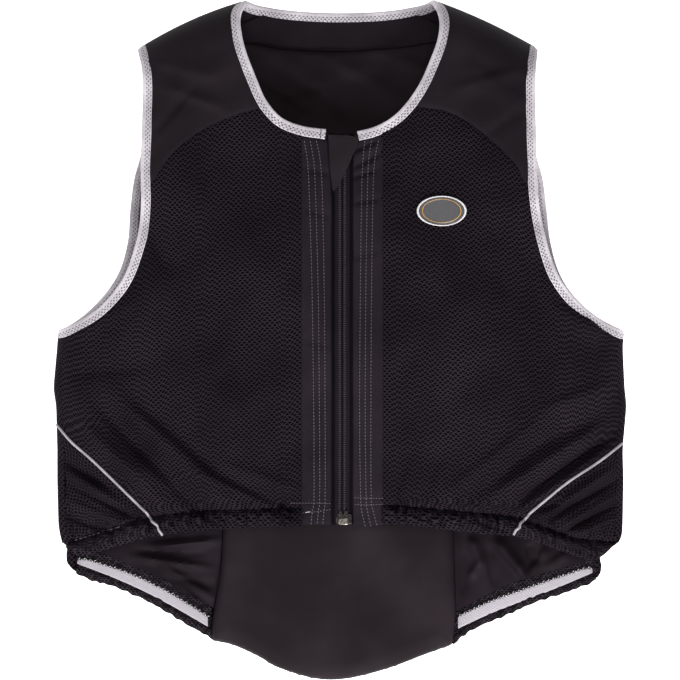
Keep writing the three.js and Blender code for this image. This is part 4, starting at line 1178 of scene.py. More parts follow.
MESH = mesh_cloth()
SMOOTH = smooth_cloth("smooth_cloth", (16, 11, 15), (29, 23, 28))
PLACKET = smooth_cloth("placket_cloth", (17, 12, 17), (32, 26, 32))
FLAP = smooth_cloth("flap_cloth", (22, 18, 21), (34, 29, 32))
LINING = lining_cloth("lining_cloth", (18, 13, 17), (28, 22, 27), 0.56)
PAD = lining_cloth("pad_cloth", (24, 19, 22), (34, 28, 32), 0.64)
BINDING = binding_cloth()
GRIPPER = gripper_tape()
PIPING_CLOTH = piping_cord()
BAND = band_cloth()
ZIP_TAPE = zip_black()
ZIP_COIL = grained("zip_coil", (24, 18, 24), (52, 46, 52), **COIL)
METAL = grained("zip_metal", (104, 98, 94), (146, 138, 132), **POLISHED)
METAL_DIM = grained("zip_metal_dim", (46, 42, 41), (74, 69, 67), **POLISHED)
THREAD_LIGHT = grained("thread_light", (64, 58, 64), (100, 93, 98), **SPUN)
THREAD_DARK = grained("thread_dark", (20, 16, 20), (38, 33, 38), **SPUN)
THREAD_TAPE = grained("thread_tape", (140, 134, 140), (172, 166, 172), **SPUN)
THREAD_WHITE = grained("thread_white", (184, 180, 184), (214, 210, 214), **SPUN)
BADGE_FIELD = grained("badge_field", (50, 49, 52), (66, 64, 67), **MOULDED)
BADGE_RIM = grained("badge_rim", (172, 170, 170), (200, 198, 198), **MOULDED)
BADGE_LINE = grained("badge_line", (140, 106, 44), (168, 130, 62), **MOULDED)


# Front: yokes, panels and side panels
UNDER_BINDING = 2.5
SIDE_GRAIN = math.radians(40)
SIDE_SEAM = {
    "left": [[0.99, 0.345], [0.985, 0.33], [0.972, 0.28], [0.955, 0.235], [0.935, 0.195], [0.93, 0.18]],
    "right": [[1.0, 0.33], [0.99, 0.31], [0.982, 0.27], [0.975, 0.23], [0.965, 0.2], [0.96, 0.18]],
}
SEAM_DENT = (0.8, 1.6)
SIDE_DENT = (2.0, 1.2)
PANEL_STEP = 1.9
FLANK_STEP = 1.6
PANEL_INSET = 5.0
FOLD_INSET = 3.0
FOLD_MARGIN = 0.1
YOKE_LIFT = 0.1
PIPING_ROOM = 0.4
TAPE_EDGE = {"left": ZIP_TAPE_LEFT, "right": ZIP_TAPE_RIGHT}
neck_line = np.vstack([edge(NECK_EDGE["left"], -1)[::-1], edge(NECK_EDGE["right"], 1)])


def seam_dents(lines, size=SEAM_DENT):
    """The sewn hollows along seams, from their depth and width."""
    depth, width = size
    return lambda x, y: sum(-depth * bell(signed_distance(x, y, line) / width) for line in lines)


def fill_front(side):
    sign = SIGN[side]
    yoke_line, piping_line, hem_line, side_line = [
        edge(rows[side], sign) for rows in (YOKE_SEAM, PIPING, HEM_SEAM, SIDE_SEAM)]
    keeps = [
        outside_of(PLACKET_WIDTH + TAPE_EDGE[side] - 1, sign),
        inside_fold(FOLD_MARGIN),
        beyond(edge(FRONT_ARMHOLE[side], sign), -sign, UNDER_BINDING),
        beyond(neck_line, 1, UNDER_BINDING),
    ]
    xs = side_span(sign, PLACKET_WIDTH + PANEL_INSET, HALF_WIDTH - FOLD_INSET, PANEL_STEP)
    patch = cut_patch(True, xs, span(up(0.7), up(1.01), PANEL_STEP), keeps + [
        over_level(YOKE_SEAM[side], sign, 0.0)])
    slab(f"yoke_cloth_{side}", True, patch, (YOKE_LIFT, -FRONT_WALL), SMOOTH, "smooth_cloth",
         [f"yoke_{side}"], ("laid", ["back_yoke"]), dent=seam_dents([yoke_line]))
    patch = cut_patch(True, xs, span(up(0.185), up(0.96), PANEL_STEP), keeps + [
        under_level(YOKE_SEAM[side], sign, 0.0),
        over_level(HEM_SEAM[side], sign, 0.0),
        beyond(piping_line, -sign, PIPING_ROOM)])
    slab(f"front_cloth_{side}", True, patch, (0.0, -FRONT_WALL), MESH, "mesh_cloth", [f"front_panel_{side}"],
         ("laid", ["back_pad"]), dent=seam_dents([yoke_line, piping_line, hem_line]))
    xs = side_span(sign, 0.55 * HALF_WIDTH, HALF_WIDTH - FOLD_INSET, FLANK_STEP)
    patch = cut_patch(True, xs, span(up(0.17), up(0.46), FLANK_STEP), [
        inside_fold(FOLD_MARGIN),
        over_level(HEM_SEAM[side], sign, 0.0),
        beyond(piping_line, sign, PIPING_ROOM)])
    seams = seam_dents([piping_line, hem_line])
    side_dent = seam_dents([side_line], SIDE_DENT)
    slab(f"side_cloth_{side}", True, patch, (0.0, -FRONT_WALL), MESH, "mesh_cloth", [f"side_panel_{side}"],
         ("laid", ["back_shell"]), dent=lambda x, y: seams(x, y) + side_dent(x, y), grain=-sign * SIDE_GRAIN)


# Front hem: a gathered elastic casing that tapers out at the side folds
HEM_BULGE = 2.0
HEM_GATHER = 1.4
HEM_RUFFLE = [(1.0, 8, 23)]
HEM_WAVER = 0.6
HEM_STEP = 1.1
HEM_ROWS = 18
HEM_END = {
    "left": [[0.891, 0.182], [0.93, 0.183], [0.957, 0.188], [0.975, 0.196]],
    "right": [[0.877, 0.174], [0.91, 0.178], [0.945, 0.189], [0.97, 0.2]],
}
HEM_LOW = {"left": HEM_EDGE["left"][:6] + HEM_END["left"], "right": HEM_EDGE["right"][:8] + HEM_END["right"]}


def hem_levels(side, x):
    low = level_of(HEM_LOW[side], SIGN[side], x) + HEM_WAVER * gather_wave(x + 3)
    return low, level_of(HEM_SEAM[side], SIGN[side], x)


def hem_lift(side, x, y):
    low, high = hem_levels(side, x)
    share = np.clip((y - low) / np.maximum(high - low, 1), 0, 1)
    gathers = HEM_GATHER * gather_wave(x) + drifts(x, y, HEM_RUFFLE)
    return HEM_BULGE * np.sin(math.pi * share) + gathers * np.sin(math.pi * np.clip(share * 0.7 + 0.2, 0, 1))


def fill_hem(side):
    xs = side_span(SIGN[side], PLACKET_WIDTH + TAPE_EDGE[side], 0.969 * HALF_WIDTH, HEM_STEP)
    low, high = hem_levels(side, xs)
    patch = ruled_patch(True, across_line(xs, low), across_line(xs, high), HEM_ROWS)
    slab(f"hem_cloth_{side}", True, patch, (0.2, -FRONT_WALL), MESH, "mesh_cloth", [f"front_hem_{side}"],
         ("gathered", ["back_pad"]), soft=[lambda x, y: y - hem_levels(side, x)[0]],
         lift=lambda x, y: hem_lift(side, x, y))


# Plackets with their rows of stitches. Rows: across at each along
STITCH_ALONG = {
    "left": [0.7925, 0.788, 0.76, 0.708, 0.55, 0.385, 0.27, 0.25, 0.23],
    "right": [0.7925, 0.788, 0.76, 0.708, 0.55, 0.385, 0.27, 0.25, 0.228],
}
STITCH_ACROSS = {
    "left": [[-0.129, -0.127, -0.117, -0.1106, -0.1, -0.0951, -0.095, -0.1, -0.105],
             [-0.109, -0.106, -0.095, -0.0884, -0.079, -0.0754, -0.075, -0.079, -0.084],
             [-0.088, -0.084, -0.072, -0.0648, -0.058, -0.0556, -0.056, -0.06, -0.064]],
    "right": [[0.084, 0.082, 0.076, 0.0718, 0.067, 0.0648, 0.069, 0.072, 0.084],
              [0.108, 0.105, 0.096, 0.0915, 0.086, 0.0845, 0.088, 0.092, 0.104],
              [0.133, 0.129, 0.117, 0.1113, 0.106, 0.1042, 0.106, 0.112, 0.126]],
}
CROSS_ROWS = {
    "left": [[[-0.18, 0.2605], [-0.1, 0.2608], [-0.035, 0.26]],
             [[-0.18, 0.245], [-0.1, 0.2475], [-0.035, 0.2515]]],
    "right": [[[0.045, 0.2685], [0.1, 0.268], [0.15, 0.2675]],
              [[0.045, 0.2585], [0.1, 0.2582], [0.15, 0.259]]],
}
BACK_TACK = [[-0.124, 0.2472], [-0.108, 0.248]]
PLACKET_FOLDS = [
    [0.045, 0.776, 0.13, 0.792, 0.011, -0.7],
    [0.045, 0.752, 0.135, 0.772, 0.012, -0.8],
    [0.04, 0.737, 0.12, 0.748, 0.01, -0.7],
    [0.045, 0.7, 0.13, 0.706, 0.011, -0.6],
    [0.04, 0.62, 0.13, 0.63, 0.016, -0.4],
    [-0.12, 0.75, -0.04, 0.742, 0.012, -0.45],
    [-0.12, 0.69, -0.04, 0.68, 0.014, -0.4],
    [-0.12, 0.5, -0.04, 0.49, 0.018, -0.35],
]
PLACKET_FOLD_SCALE = 3.2
PLACKET_STEP = 0.75
PLACKET_ROWS = 190
STITCH_DENT = (0.42, 0.9)
CROSS_DENT = (0.7, 1.3)
FLAP_DENT = (0.9, 2.2)
RIPPLE = (0.12, 3.4, 0.4)
TUCK = (0.35, 46, 12)
OUTER_DROP = (0.5, 2.2)
TAPE_TUCK = 1.3
garage_line = spline(np.vstack([page(GARAGE_OUTLINE), page(GARAGE_OUTLINE[:1])]), 120)


def fill_placket(side):
    sign = SIGN[side]
    inner = TAPE_EDGE[side] + GAP
    outer = inner + PLACKET_WIDTH
    xs = side_span(sign, inner, outer, PLACKET_STEP)
    low = across_line(xs, PLACKET_FOOT + 0.3 * gather_wave(xs))
    high = across_line(xs, level_of(NECK_EDGE[side], sign, xs) - UNDER_BINDING)
    lines = [edge(list(zip(across, STITCH_ALONG[side]))) for across in STITCH_ACROSS[side]]
    sewn = seam_dents(lines, STITCH_DENT)
    beside_flap = seam_dents([garage_line], FLAP_DENT)

    def dent(x, y):
        hollow = sewn(x, y)
        for row in CROSS_ROWS[side]:
            hollow = hollow - CROSS_DENT[0] * bell((y - level_of(row, 1, x)) / CROSS_DENT[1])
        if side == "left":
            hollow = hollow + beside_flap(x, y)
        return hollow + RIPPLE[0] * np.sin(2 * math.pi * y / RIPPLE[1] + x * RIPPLE[2])

    def lift(x, y):
        tuck = TUCK[0] * np.sin(2 * math.pi * y / TUCK[1] + sign) * bell((np.abs(x) - inner) / TUCK[2])
        under_tape = smooth((y - level_of(NECK_EDGE[side], sign, x) + BINDING_WIDTH + 2.5) / 2.5)
        folds = ridges(x, y, PLACKET_FOLDS, PLACKET_FOLD_SCALE) * (1 - under_tape)
        drop = OUTER_DROP[0] * bell((sign * x - outer) / OUTER_DROP[1])
        return tuck - drop + folds - TAPE_TUCK * under_tape

    patch = ruled_patch(True, low, high, PLACKET_ROWS)
    slab(f"placket_cloth_{side}", True, patch, (PLACKET_LIFT, -FRONT_WALL), PLACKET, "smooth_cloth",
         [f"placket_{side}"], soft=[lambda x, y: sign * x - inner, lambda x, y: y - PLACKET_FOOT],
         lift=lift, dent=dent)
    rows = [sewn_row(*on_cloth(True, line, PLACKET_LIFT - 0.12), pitch=2.9) for line in lines]
    sew(f"placket_stitches_{side}", rows, 1.8, 0.3, THREAD_LIGHT)
    rows = []
    for row in CROSS_ROWS[side]:
        line = edge(row)
        over = smooth((outer - np.abs(line[:, 0])) / 2)
        rows.append(sewn_row(*on_cloth(True, line, (over * PLACKET_LIFT)[:, None]), pitch=2.6))
    sew(f"placket_cross_stitches_{side}", rows, 1.7, 0.26, THREAD_LIGHT)
    if side == "left":
        tack = sewn_row(*on_cloth(True, edge(BACK_TACK), PLACKET_LIFT), pitch=1.9)
        sew("placket_back_tack", [tack], 1.9, 0.3, THREAD_WHITE)


# Zip: two tape edges over a reversed coil, the box at the foot, the slider and its flap
ZIP_TOP = up(ZIP_TOP_ALONG)
TAPE_TUCKED = 0.6
TAPE_STEP = 0.4
TAPE_ROWS = 120
TAPE_LEVELS = (-ZIP_TAPE_SINK + 0.4, -ZIP_TAPE_SINK - 1.2)
COIL_OFFSET = 2.1
COIL_LEVEL = -ZIP_TAPE_SINK + 1.35
COIL_PITCH = 1.9
COIL_POINTS = 90
# Blocks: name, across and along from the zip's foot, sizes across, along and up, bevel, material, level and
# the solids that it stands for
ZIP_BLOCKS = [
    ("zip_box_base", 1.7, 5.0, (13.6, 8.6, 2.0), 0.7, METAL_DIM, -1.3, ["zip_box"]),
    ("zip_box_block", 0.8, 3.2, (8.0, 5.4, 1.6), 0.6, METAL, 0.5, []),
    ("zip_box_pin_0", -1.6, ZIP_BOX_LENGTH - 2.0, (3.0, 4.6, 1.3), 0.5, METAL_DIM, 0.4, []),
    ("zip_box_pin_1", 3.4, ZIP_BOX_LENGTH - 2.0, (3.0, 4.6, 1.3), 0.5, METAL_DIM, 0.4, []),
    ("zip_slider_body", 0.0, ZIP_TOP - PLACKET_FOOT - 6.5, (7.6, 11, 2.4), 0.9, METAL, -1.6, ["zip_slider"]),
]


def fill_zip():
    xs = span(-ZIP_TAPE_LEFT - TAPE_TUCKED, ZIP_TAPE_RIGHT + TAPE_TUCKED, TAPE_STEP)
    patch = ruled_patch(True, across_line(xs, PLACKET_FOOT), across_line(xs, ZIP_TOP + 6), TAPE_ROWS)

    def dent(x, y):
        """A roll over each coil, a cord at each edge and the slit between the coils."""
        away = np.abs(x - ZIP_CENTRE)
        return bell((away - 2.0) / 1.2) + 0.7 * bell((away - 5.2) / 0.75) - 0.8 * bell(away / 0.5)

    slab("zip_tape_cloth", True, patch, TAPE_LEVELS, ZIP_TAPE, "zip_black", ["zip_tape"], dent=dent)
    rows = []
    for offset in (-COIL_OFFSET, COIL_OFFSET):
        ys = np.linspace(PLACKET_FOOT + ZIP_BOX_LENGTH, ZIP_TOP - 4, COIL_POINTS)
        line = np.column_stack([np.full(COIL_POINTS, ZIP_CENTRE + offset), ys])
        places, directions, normals = sewn_row(*on_cloth(True, line, COIL_LEVEL), pitch=COIL_PITCH)
        rows.append((places, unit(np.cross(normals, directions)), normals))
    sew("zip_coil_ribs", rows, 2.5, 0.4, ZIP_COIL, "zip_black", ["zip_chain"])
    for name, across, along, sizes, bevel, material, level, nodes in ZIP_BLOCKS:
        centre = (ZIP_CENTRE + across, PLACKET_FOOT + along)
        dress(rounded_block(name, centre, sizes, bevel, material, level), "zip_metal", *nodes)


def rounded_block(name, centre, sizes, bevel, material, level):
    """A block with soft edges on the cloth at a page place."""
    place, normal = on_cloth(True, np.array([centre]), level)
    half = np.array(sizes) / 2
    corners = np.array([[i, j, k] for k in (-1, 1) for j in (-1, 1) for i in (-1, 1)]) * half
    faces = [[0, 2, 3, 1], [4, 5, 7, 6], [0, 1, 5, 4], [2, 6, 7, 3], [0, 4, 6, 2], [1, 3, 7, 5]]
    points = place[0] + corners + normal[0] * half[2]
    piece = make_object(name, points, faces, points[:, :2], material, sharp=60)
    soft = piece.modifiers.new("soft edges", "BEVEL")
    soft.width = bevel * MM
    soft.segments = 4
    return piece


FLAP_STEP = 0.8
FLAP_LEVELS = (PLACKET_LIFT + 2.5, PLACKET_LIFT + 1.0)


def fill_garage():
    patch = cut_patch(True, span(-13.5, 16, FLAP_STEP), span(up(0.67), up(0.805), FLAP_STEP), [
        beyond(garage_line, -1, 0.0)])

    def rim(x, y):
        return -signed_distance(x, y, garage_line)

    def lift(x, y):
        return 0.9 * bell((x - ZIP_CENTRE - 1.5) / 6) - 0.3 * bell((rim(x, y) - 2) / 0.7)

    slab("zip_flap_cloth", True, patch, FLAP_LEVELS, FLAP, "smooth_cloth", ["zip_garage"],
         soft=[rim], lift=lift)


# Badge: a raised rim round a plain field with one thin oval line. Profile: share outward and height
BADGE_PROFILE = [(0.3, 1.55), (0.62, 1.5), (0.75, 1.5), (0.762, 1.65), (0.778, 1.65), (0.79, 1.5),
                 (0.915, 1.5), (0.93, 1.9), (0.955, 2.1), (0.985, 1.8), (1.0, 1.2), (1.0, -0.4)]
BADGE_LINE_SHARES = (0.76, 0.792)
BADGE_RIM_SHARE = 0.92
BADGE_SIDES = 96
BADGE_MIDDLE = 1.5


def badge_owner(share):
    """The number of the material: field, rim or line."""
    if share > BADGE_RIM_SHARE:
        return 1
    return 2 if BADGE_LINE_SHARES[0] < share < BADGE_LINE_SHARES[1] else 0


def fill_badge():
    centre = page([BADGE_PLACE])[0]
    angles = np.linspace(0, 2 * math.pi, BADGE_SIDES, endpoint=False)
    oval = np.column_stack([BADGE_WIDTH / 2 * np.cos(angles), BADGE_HEIGHT / 2 * np.sin(angles)])
    points = [on_cloth(True, centre[None], BADGE_MIDDLE)[0]]
    points += [on_cloth(True, centre + share * oval, rise)[0] for share, rise in BADGE_PROFILE]
    points = np.vstack(points)
    faces = []
    owners = []
    for spot in range(BADGE_SIDES):
        beside = (spot + 1) % BADGE_SIDES
        faces.append([0, 1 + spot, 1 + beside])
        owners.append(0)
        for ring, (share, _) in enumerate(BADGE_PROFILE[1:]):
            first = 1 + ring * BADGE_SIDES
            after = first + BADGE_SIDES
            faces.append([first + spot, after + spot, after + beside, first + beside])
            owners.append(badge_owner(share))
    last = 1 + (len(BADGE_PROFILE) - 1) * BADGE_SIDES
    faces.append([last + spot for spot in range(BADGE_SIDES)][::-1])
    owners.append(1)
    badge = make_object("badge_patch", points, faces, points[:, :2], BADGE_FIELD, sharp=60)
    badge.data.materials.append(BADGE_RIM)
    badge.data.materials.append(BADGE_LINE)
    badge.data.polygons.foreach_set("material_index", owners)
    dress(badge, "badge_rubber", "badge")


# Piping in the slanting seams
CORD_HALF = (1.2, 1.0)
CORD_LEVEL = 0.45
CORD_SIDES = 12
CORD_STEP = 2.0


def fill_piping(side):
    line = edge(PIPING[side], SIGN[side])
    line = line[np.abs(line[:, 0]) < reach(line[:, 0], line[:, 1]) - 0.6]
    x, y = line[:, 0], line[:, 1]
    over_hem = smooth((level_of(HEM_SEAM[side], SIGN[side], x) - y) / 3)
    offset = CORD_LEVEL + np.maximum(hem_lift(side, x, y) + 0.3, 0) * over_hem
    place, normal = resample(*on_cloth(True, line, offset[:, None]), CORD_STEP)
    angles = np.linspace(0, 2 * math.pi, CORD_SIDES, endpoint=False)
    shape = np.column_stack([CORD_HALF[0] * np.cos(angles), CORD_HALF[1] * np.sin(angles)])
    cord = sweep(f"piping_cloth_{side}", place, normal, shape, 1, False, PIPING_CLOTH)
    dress(cord, "piping_cord", f"piping_{side}")


# Bindings: elastic tape folded over the edges, in one run over the shoulders
BINDING_SIDES = 28
BINDING_STEP = 2.2
BINDING_HALF = FRONT_WALL / 2 + BINDING_LIFT
TAPE_SEAMS = (4.4, 6.6)
TAB_FROM = -17.5
TAB_RAISED = 0.5
TAB_STEP = 0.8


def binding_shape(width, half):
    """The section of the folded tape, a soft rectangle round the edge of the cloth."""
    angles = np.linspace(0, 2 * math.pi, BINDING_SIDES, endpoint=False)
    cosine, sine = np.cos(angles), np.sin(angles)
    across = width / 2 - 0.2 + (width / 2 + 0.2) * np.sign(cosine) * np.abs(cosine) ** 0.35
    return np.column_stack([across, half * np.sign(sine) * np.abs(sine) ** 0.5])


def cut_at_crest(line):
    below = line[:, 1] < crest(line[:, 0]) - 0.3
    within = np.abs(line[:, 0]) < reach(line[:, 0], line[:, 1]) - 0.05
    return line[below & within]


def bind(name, lines, inward, closed, nodes):
    """lines: pairs of front or back and page line, in order along the binding."""
    runs = []
    for front, line in lines:
        wall = FRONT_WALL if front else SHELL_WALL + LINING_WALL
        runs.append(on_cloth(front, cut_at_crest(line), -wall / 2))
    points, normals = [np.vstack(parts) for parts in zip(*runs)]
    points, normals = resample(points, normals, BINDING_STEP, closed)
    points = relax(points, 3, closed)
    normals = unit(relax(normals, 4, closed))
    tape = sweep(name, points, normals, binding_shape(BINDING_WIDTH, BINDING_HALF), inward, closed, BINDING)
    dress(tape, "binding_cloth", *nodes)
    _, side, normal = axes_along(points, normals, inward, closed)
    rows = []
    for across in TAPE_SEAMS:
        for face in (1, -1):
            moved = points + side * across + normal * face * (BINDING_HALF - 0.02)
            rows.append(sewn_row(moved, normal * face, 2.7, slant=0.6))
    sew(f"{name}_stitches", rows, 2.2, 0.24, THREAD_TAPE)


def fill_bindings():
    for side in SIDES:
        front_line = edge(FRONT_ARMHOLE[side], SIGN[side])
        back_line = edge(BACK_ARMHOLE[side], SIGN[side])[::-1]
        nodes = [f"armhole_binding_front_{side}", f"armhole_binding_back_{side}"]
        bind(f"armhole_tape_{side}", [(True, front_line), (False, back_line)], -SIGN[side], True, nodes)
    left_line = edge(NECK_EDGE["left"], -1)[::-1]
    lines = [(True, left_line), (False, edge(BACK_NECK_EDGE)), (True, edge(NECK_EDGE["right"]))]
    bind("neck_tape", lines, 1, False, ["neck_binding_left", "neck_binding_right", "neck_binding_back"])


def fill_neck_tab():
    """The end of the neck tape, folded over itself beside the zip."""
    line = edge(NECK_EDGE["left"], -1)
    place, normal = resample(*on_cloth(True, line[line[:, 0] > TAB_FROM], -FRONT_WALL / 2), TAB_STEP)
    shape = binding_shape(BINDING_WIDTH + 0.3, BINDING_HALF + TAB_RAISED)
    dress(sweep("neck_tape_tab", place, normal, shape, -1, False, BINDING), "binding_cloth")
    _, side, normal = axes_along(place, normal, -1, False)
    across = np.linspace(0.4, BINDING_WIDTH - 0.4, 5)[:, None]
    seam = place[0] + side[0] * across + normal[0] * (BINDING_HALF + 0.2)
    row = sewn_row(seam, np.repeat(normal[:1], len(seam), axis=0), 1.5)
    sew("neck_tab_stitches", [row], 1.6, 0.45, THREAD_DARK)


# Floor
FLOOR_HALF = 6.0
FLOOR_COLOUR = (0.9, 0.9, 0.9, 1.0)
FLOOR_GLOW = 0.8


def add_floor():
    data = bpy.data.meshes.new("floor")
    corners = [(x * FLOOR_HALF, y * FLOOR_HALF, 0) for x, y in ((-1, -1), (1, -1), (1, 1), (-1, 1))]
    data.from_pydata(corners, [], [(0, 1, 2, 3)])
    floor = bpy.data.objects.new("floor", data)
    bpy.context.collection.objects.link(floor)
    shade = Shade("floor_white", roughness=0.9, specular=0.1)
    shade.shader.inputs["Base Color"].default_value = FLOOR_COLOUR
    shade.shader.inputs["Emission Color"].default_value = (1.0, 1.0, 1.0, 1.0)
    shade.shader.inputs["Emission Strength"].default_value = FLOOR_GLOW
    data.materials.append(shade.material)


# Back: mesh shell and smooth yoke
FOLD_TURNS = np.array([-0.36, -0.3, -0.24, -0.18, -0.12, -0.06, 0, 0.06, 0.12, 0.18, 0.24, 0.28]) + QUARTER
SHELL_STEP = 4.0
BACK_YOKE_STEP = 3.0
FAR_INSIDE = 50.0


def keep_arm(side):
    line = edge(BACK_ARMHOLE[side], SIGN[side])
    return lambda x, y: np.where(
        SIGN[side] * x > 0, signed_distance(x, y, line) * -SIGN[side], FAR_INSIDE) - UNDER_BINDING


def fill_back():
    arm_keeps = [keep_arm(side) for side in SIDES]
    xs = span(-0.92 * HALF_WIDTH, 0.92 * HALF_WIDTH, SHELL_STEP)
    tail = spline(page([*PAD_OUTLINE[-9:], PAD_OUTLINE[0]]), 100)[1:-1]
    hem = np.vstack([edge(BACK_HEM_EDGE["left"], -1), tail, edge(BACK_HEM_EDGE["right"], 1)[::-1]])
    carry, faces = cut_patch(False, xs, span(up(-0.005), up(0.96), SHELL_STEP), [
        *arm_keeps,
        under_level(BACK_YOKE_SEAM, 1, 0.0),
        beyond(hem, 1, 0.0),
    ], (-FOLD_TURNS[::-1], FOLD_TURNS))
    x, y = skin(False, carry[:, 0], carry[:, 1])[:, :2].T
    wrapped = np.abs(carry[:, 0]) > QUARTER
    depth = np.where(wrapped, np.abs(x) - (reach(x, y) - SIDE_WRAP), FAR_INSIDE)
    slab("back_cloth", False, clip(carry, faces, depth), (0.0, -SHELL_WALL), MESH, "mesh_cloth",
         ["back_shell"], ("laid", ["floor"]))
    patch = cut_patch(False, xs, span(up(0.74), up(1.02), BACK_YOKE_STEP), [
        *arm_keeps,
        beyond(edge(BACK_NECK_EDGE), -1, UNDER_BINDING),
        over_level(BACK_YOKE_SEAM, 1, 0.0)])
    slab("back_yoke_cloth", False, patch, (0.0, -SHELL_WALL), SMOOTH, "smooth_cloth", ["back_yoke"],
         ("laid", ["floor"]))


# Inside of the back: pad, facing, lining, hem bands and gripper tapes
LAYER_BASE = SHELL_WALL + GAP
LAYER_LEVELS = (-LAYER_BASE, -LAYER_BASE - LINING_WALL)
PAD_STEP = 2.6
PAD_LIP = 3.0
PAD_WRINKLES = [(0.35, 70, 11), (0.1, 24, 13)]
NECK_FOLD_SCALE = 2.3
LINING_FOLD_SCALE = 2.5
LINING_WAVES = [(0.5, 46, 17), (0.25, 17, 19)]
LINING_OFF = 1.8
pad_line = spline(np.vstack([page(PAD_OUTLINE), page(PAD_OUTLINE[:1])]), 400)


def inside_pad(x, y):
    return signed_distance(x, y, pad_line)


def fill_pad():
    xs = span(-0.48 * HALF_WIDTH, 0.46 * HALF_WIDTH, PAD_STEP)
    grid_x, grid_y = np.meshgrid(xs, span(up(-0.004), up(0.945), PAD_STEP))
    carry = np.column_stack([grid_x.ravel(), grid_y.ravel()])
    edge_keep = inside_pad(carry[:, 0], carry[:, 1])
    carry, faces = compact(*clip(carry, grid_faces(*grid_x.shape), edge_keep, snap=0.5))
    x, y = carry.T
    away = np.maximum(inside_pad(x, y), 0)
    rounding = np.sqrt(1 - (1 - np.clip(away / PAD_EDGE_ROUND, 0, 1)) ** 2)
    taper = np.sin(np.clip((up(PAD_TOP_ALONG) - y) / PAD_TOP_TAPER, 0, 1) * QUARTER)
    swell = (PAD_THICKNESS - PAD_EDGE_THICKNESS) * rounding * taper
    lip = PAD_EDGE_THICKNESS * np.sqrt(1 - (1 - np.clip(away / PAD_LIP, 0.01, 1)) ** 2)
    wrinkle = drifts(x, y, PAD_WRINKLES) + ridges(x, y, NECK_FOLDS, NECK_FOLD_SCALE)
    top = np.column_stack([x, y, LAYER_BASE + lip + swell + wrinkle * rounding])
    bottom = np.column_stack([x, y, np.full(x.shape, LAYER_BASE)])
    points, closed = close_slab(top, bottom, faces)
    pad = make_object("pad_cover", points, closed, points[:, :2], PAD)
    dress(pad, "lining_cloth", "back_pad")


def fill_facing():
    xs = span(-0.4 * HALF_WIDTH, 0.4 * HALF_WIDTH, PAD_STEP)
    patch = cut_patch(False, xs, span(up(0.88), up(1.0), PAD_STEP), [
        beyond(edge(BACK_NECK_EDGE), -1, BINDING_WIDTH - 1),
        lambda x, y: -inside_pad(x, y) - GAP])
    slab("facing_cloth", False, patch, LAYER_LEVELS, SMOOTH, "lining_cloth", ["neck_facing"],
         ("laid", ["back_yoke_cloth"]))


def lining_lift(x, y):
    """How far the loose lining stands off the shell. Outward of the back is down, so it is negative."""
    waves = LINING_OFF + drifts(x, y, LINING_WAVES)
    return -np.maximum(ridges(x, y, LINING_FOLDS, LINING_FOLD_SCALE) + waves, 0.0)


def fill_lining(side):
    sign = SIGN[side]
    xs = side_span(sign, 0.37 * HALF_WIDTH, 0.925 * HALF_WIDTH, 1.7)
    patch = cut_patch(False, xs, span(up(0.06), up(0.965), 2.2), [
        beyond(edge(BACK_ARMHOLE[side], sign), -sign, BINDING_WIDTH),
        lambda x, y: -inside_pad(x, y) - 0.1,
        over_level(BAND_SEAM[side], sign, -0.5)])
    slab(f"lining_cloth_{side}", False, patch, LAYER_LEVELS, LINING, "lining_cloth", [f"back_lining_{side}"],
         ("laid", ["back_cloth"]), lift=lining_lift)


BAND_ENDS = {"left": (0.457, 0.935), "right": (0.395, 0.9)}
BAND_STEP = 1.4
BAND_ROWS = 26
BAND_PUCKER = [(0.3, 7, 31)]
GRIPPER_ROWS = 10
GRIPPER_SPAN = 9.0
GRIPPER_LEVEL = LAYER_BASE + BAND_WALL + 0.3
# Zigzag rows: name, pitch, slant, radius and thread
GRIPPER_THREADS = [("light", 2.3, 0.7, 0.27, THREAD_WHITE), ("dark", 1.7, -0.8, 0.3, THREAD_DARK)]
GRIPPER_DRIFT = [(0.35, 4, 37)]


def fill_band(side):
    sign = SIGN[side]
    inner, outer = BAND_ENDS[side]
    low_rows, high_rows = BACK_HEM_EDGE[side], BAND_SEAM[side]
    xs = side_span(sign, inner * HALF_WIDTH, outer * HALF_WIDTH, BAND_STEP)
    scallop = 0.8 * gather_wave(xs * 1.2 + 5)
    low = across_line(xs, level_of(low_rows, sign, xs) + scallop - 1.2)
    high = across_line(xs, level_of(high_rows, sign, xs))

    def lift(x, y):
        """Three ribs above, a rolled and puckered edge below."""
        low_y = level_of(low_rows, sign, x)
        share = np.clip((y - low_y) / np.maximum(level_of(high_rows, sign, x) - low_y, 1), 0, 1)
        ribs = 0.5 * np.sin(math.pi * np.clip((share - 0.55) / 0.45, 0, 1) * 3) ** 2
        edge_roll = 1.6 * bell((share - 0.13) / 0.12)
        pucker = 0.8 * gather_wave(x * 1.3) * bell((share - 0.1) / 0.2) + drifts(x, y, BAND_PUCKER)
        return -(ribs + edge_roll + pucker + 0.3)

    slab(f"band_cloth_{side}", False, ruled_patch(False, low, high, BAND_ROWS),
         (-LAYER_BASE + 1.2, -LAYER_BASE - BAND_WALL), BAND, "smooth_cloth", [f"back_hem_{side}"],
         ("gathered", ["back_cloth"]), soft=[lambda x, y: y - level_of(low_rows, sign, x) + 0.8], lift=lift)


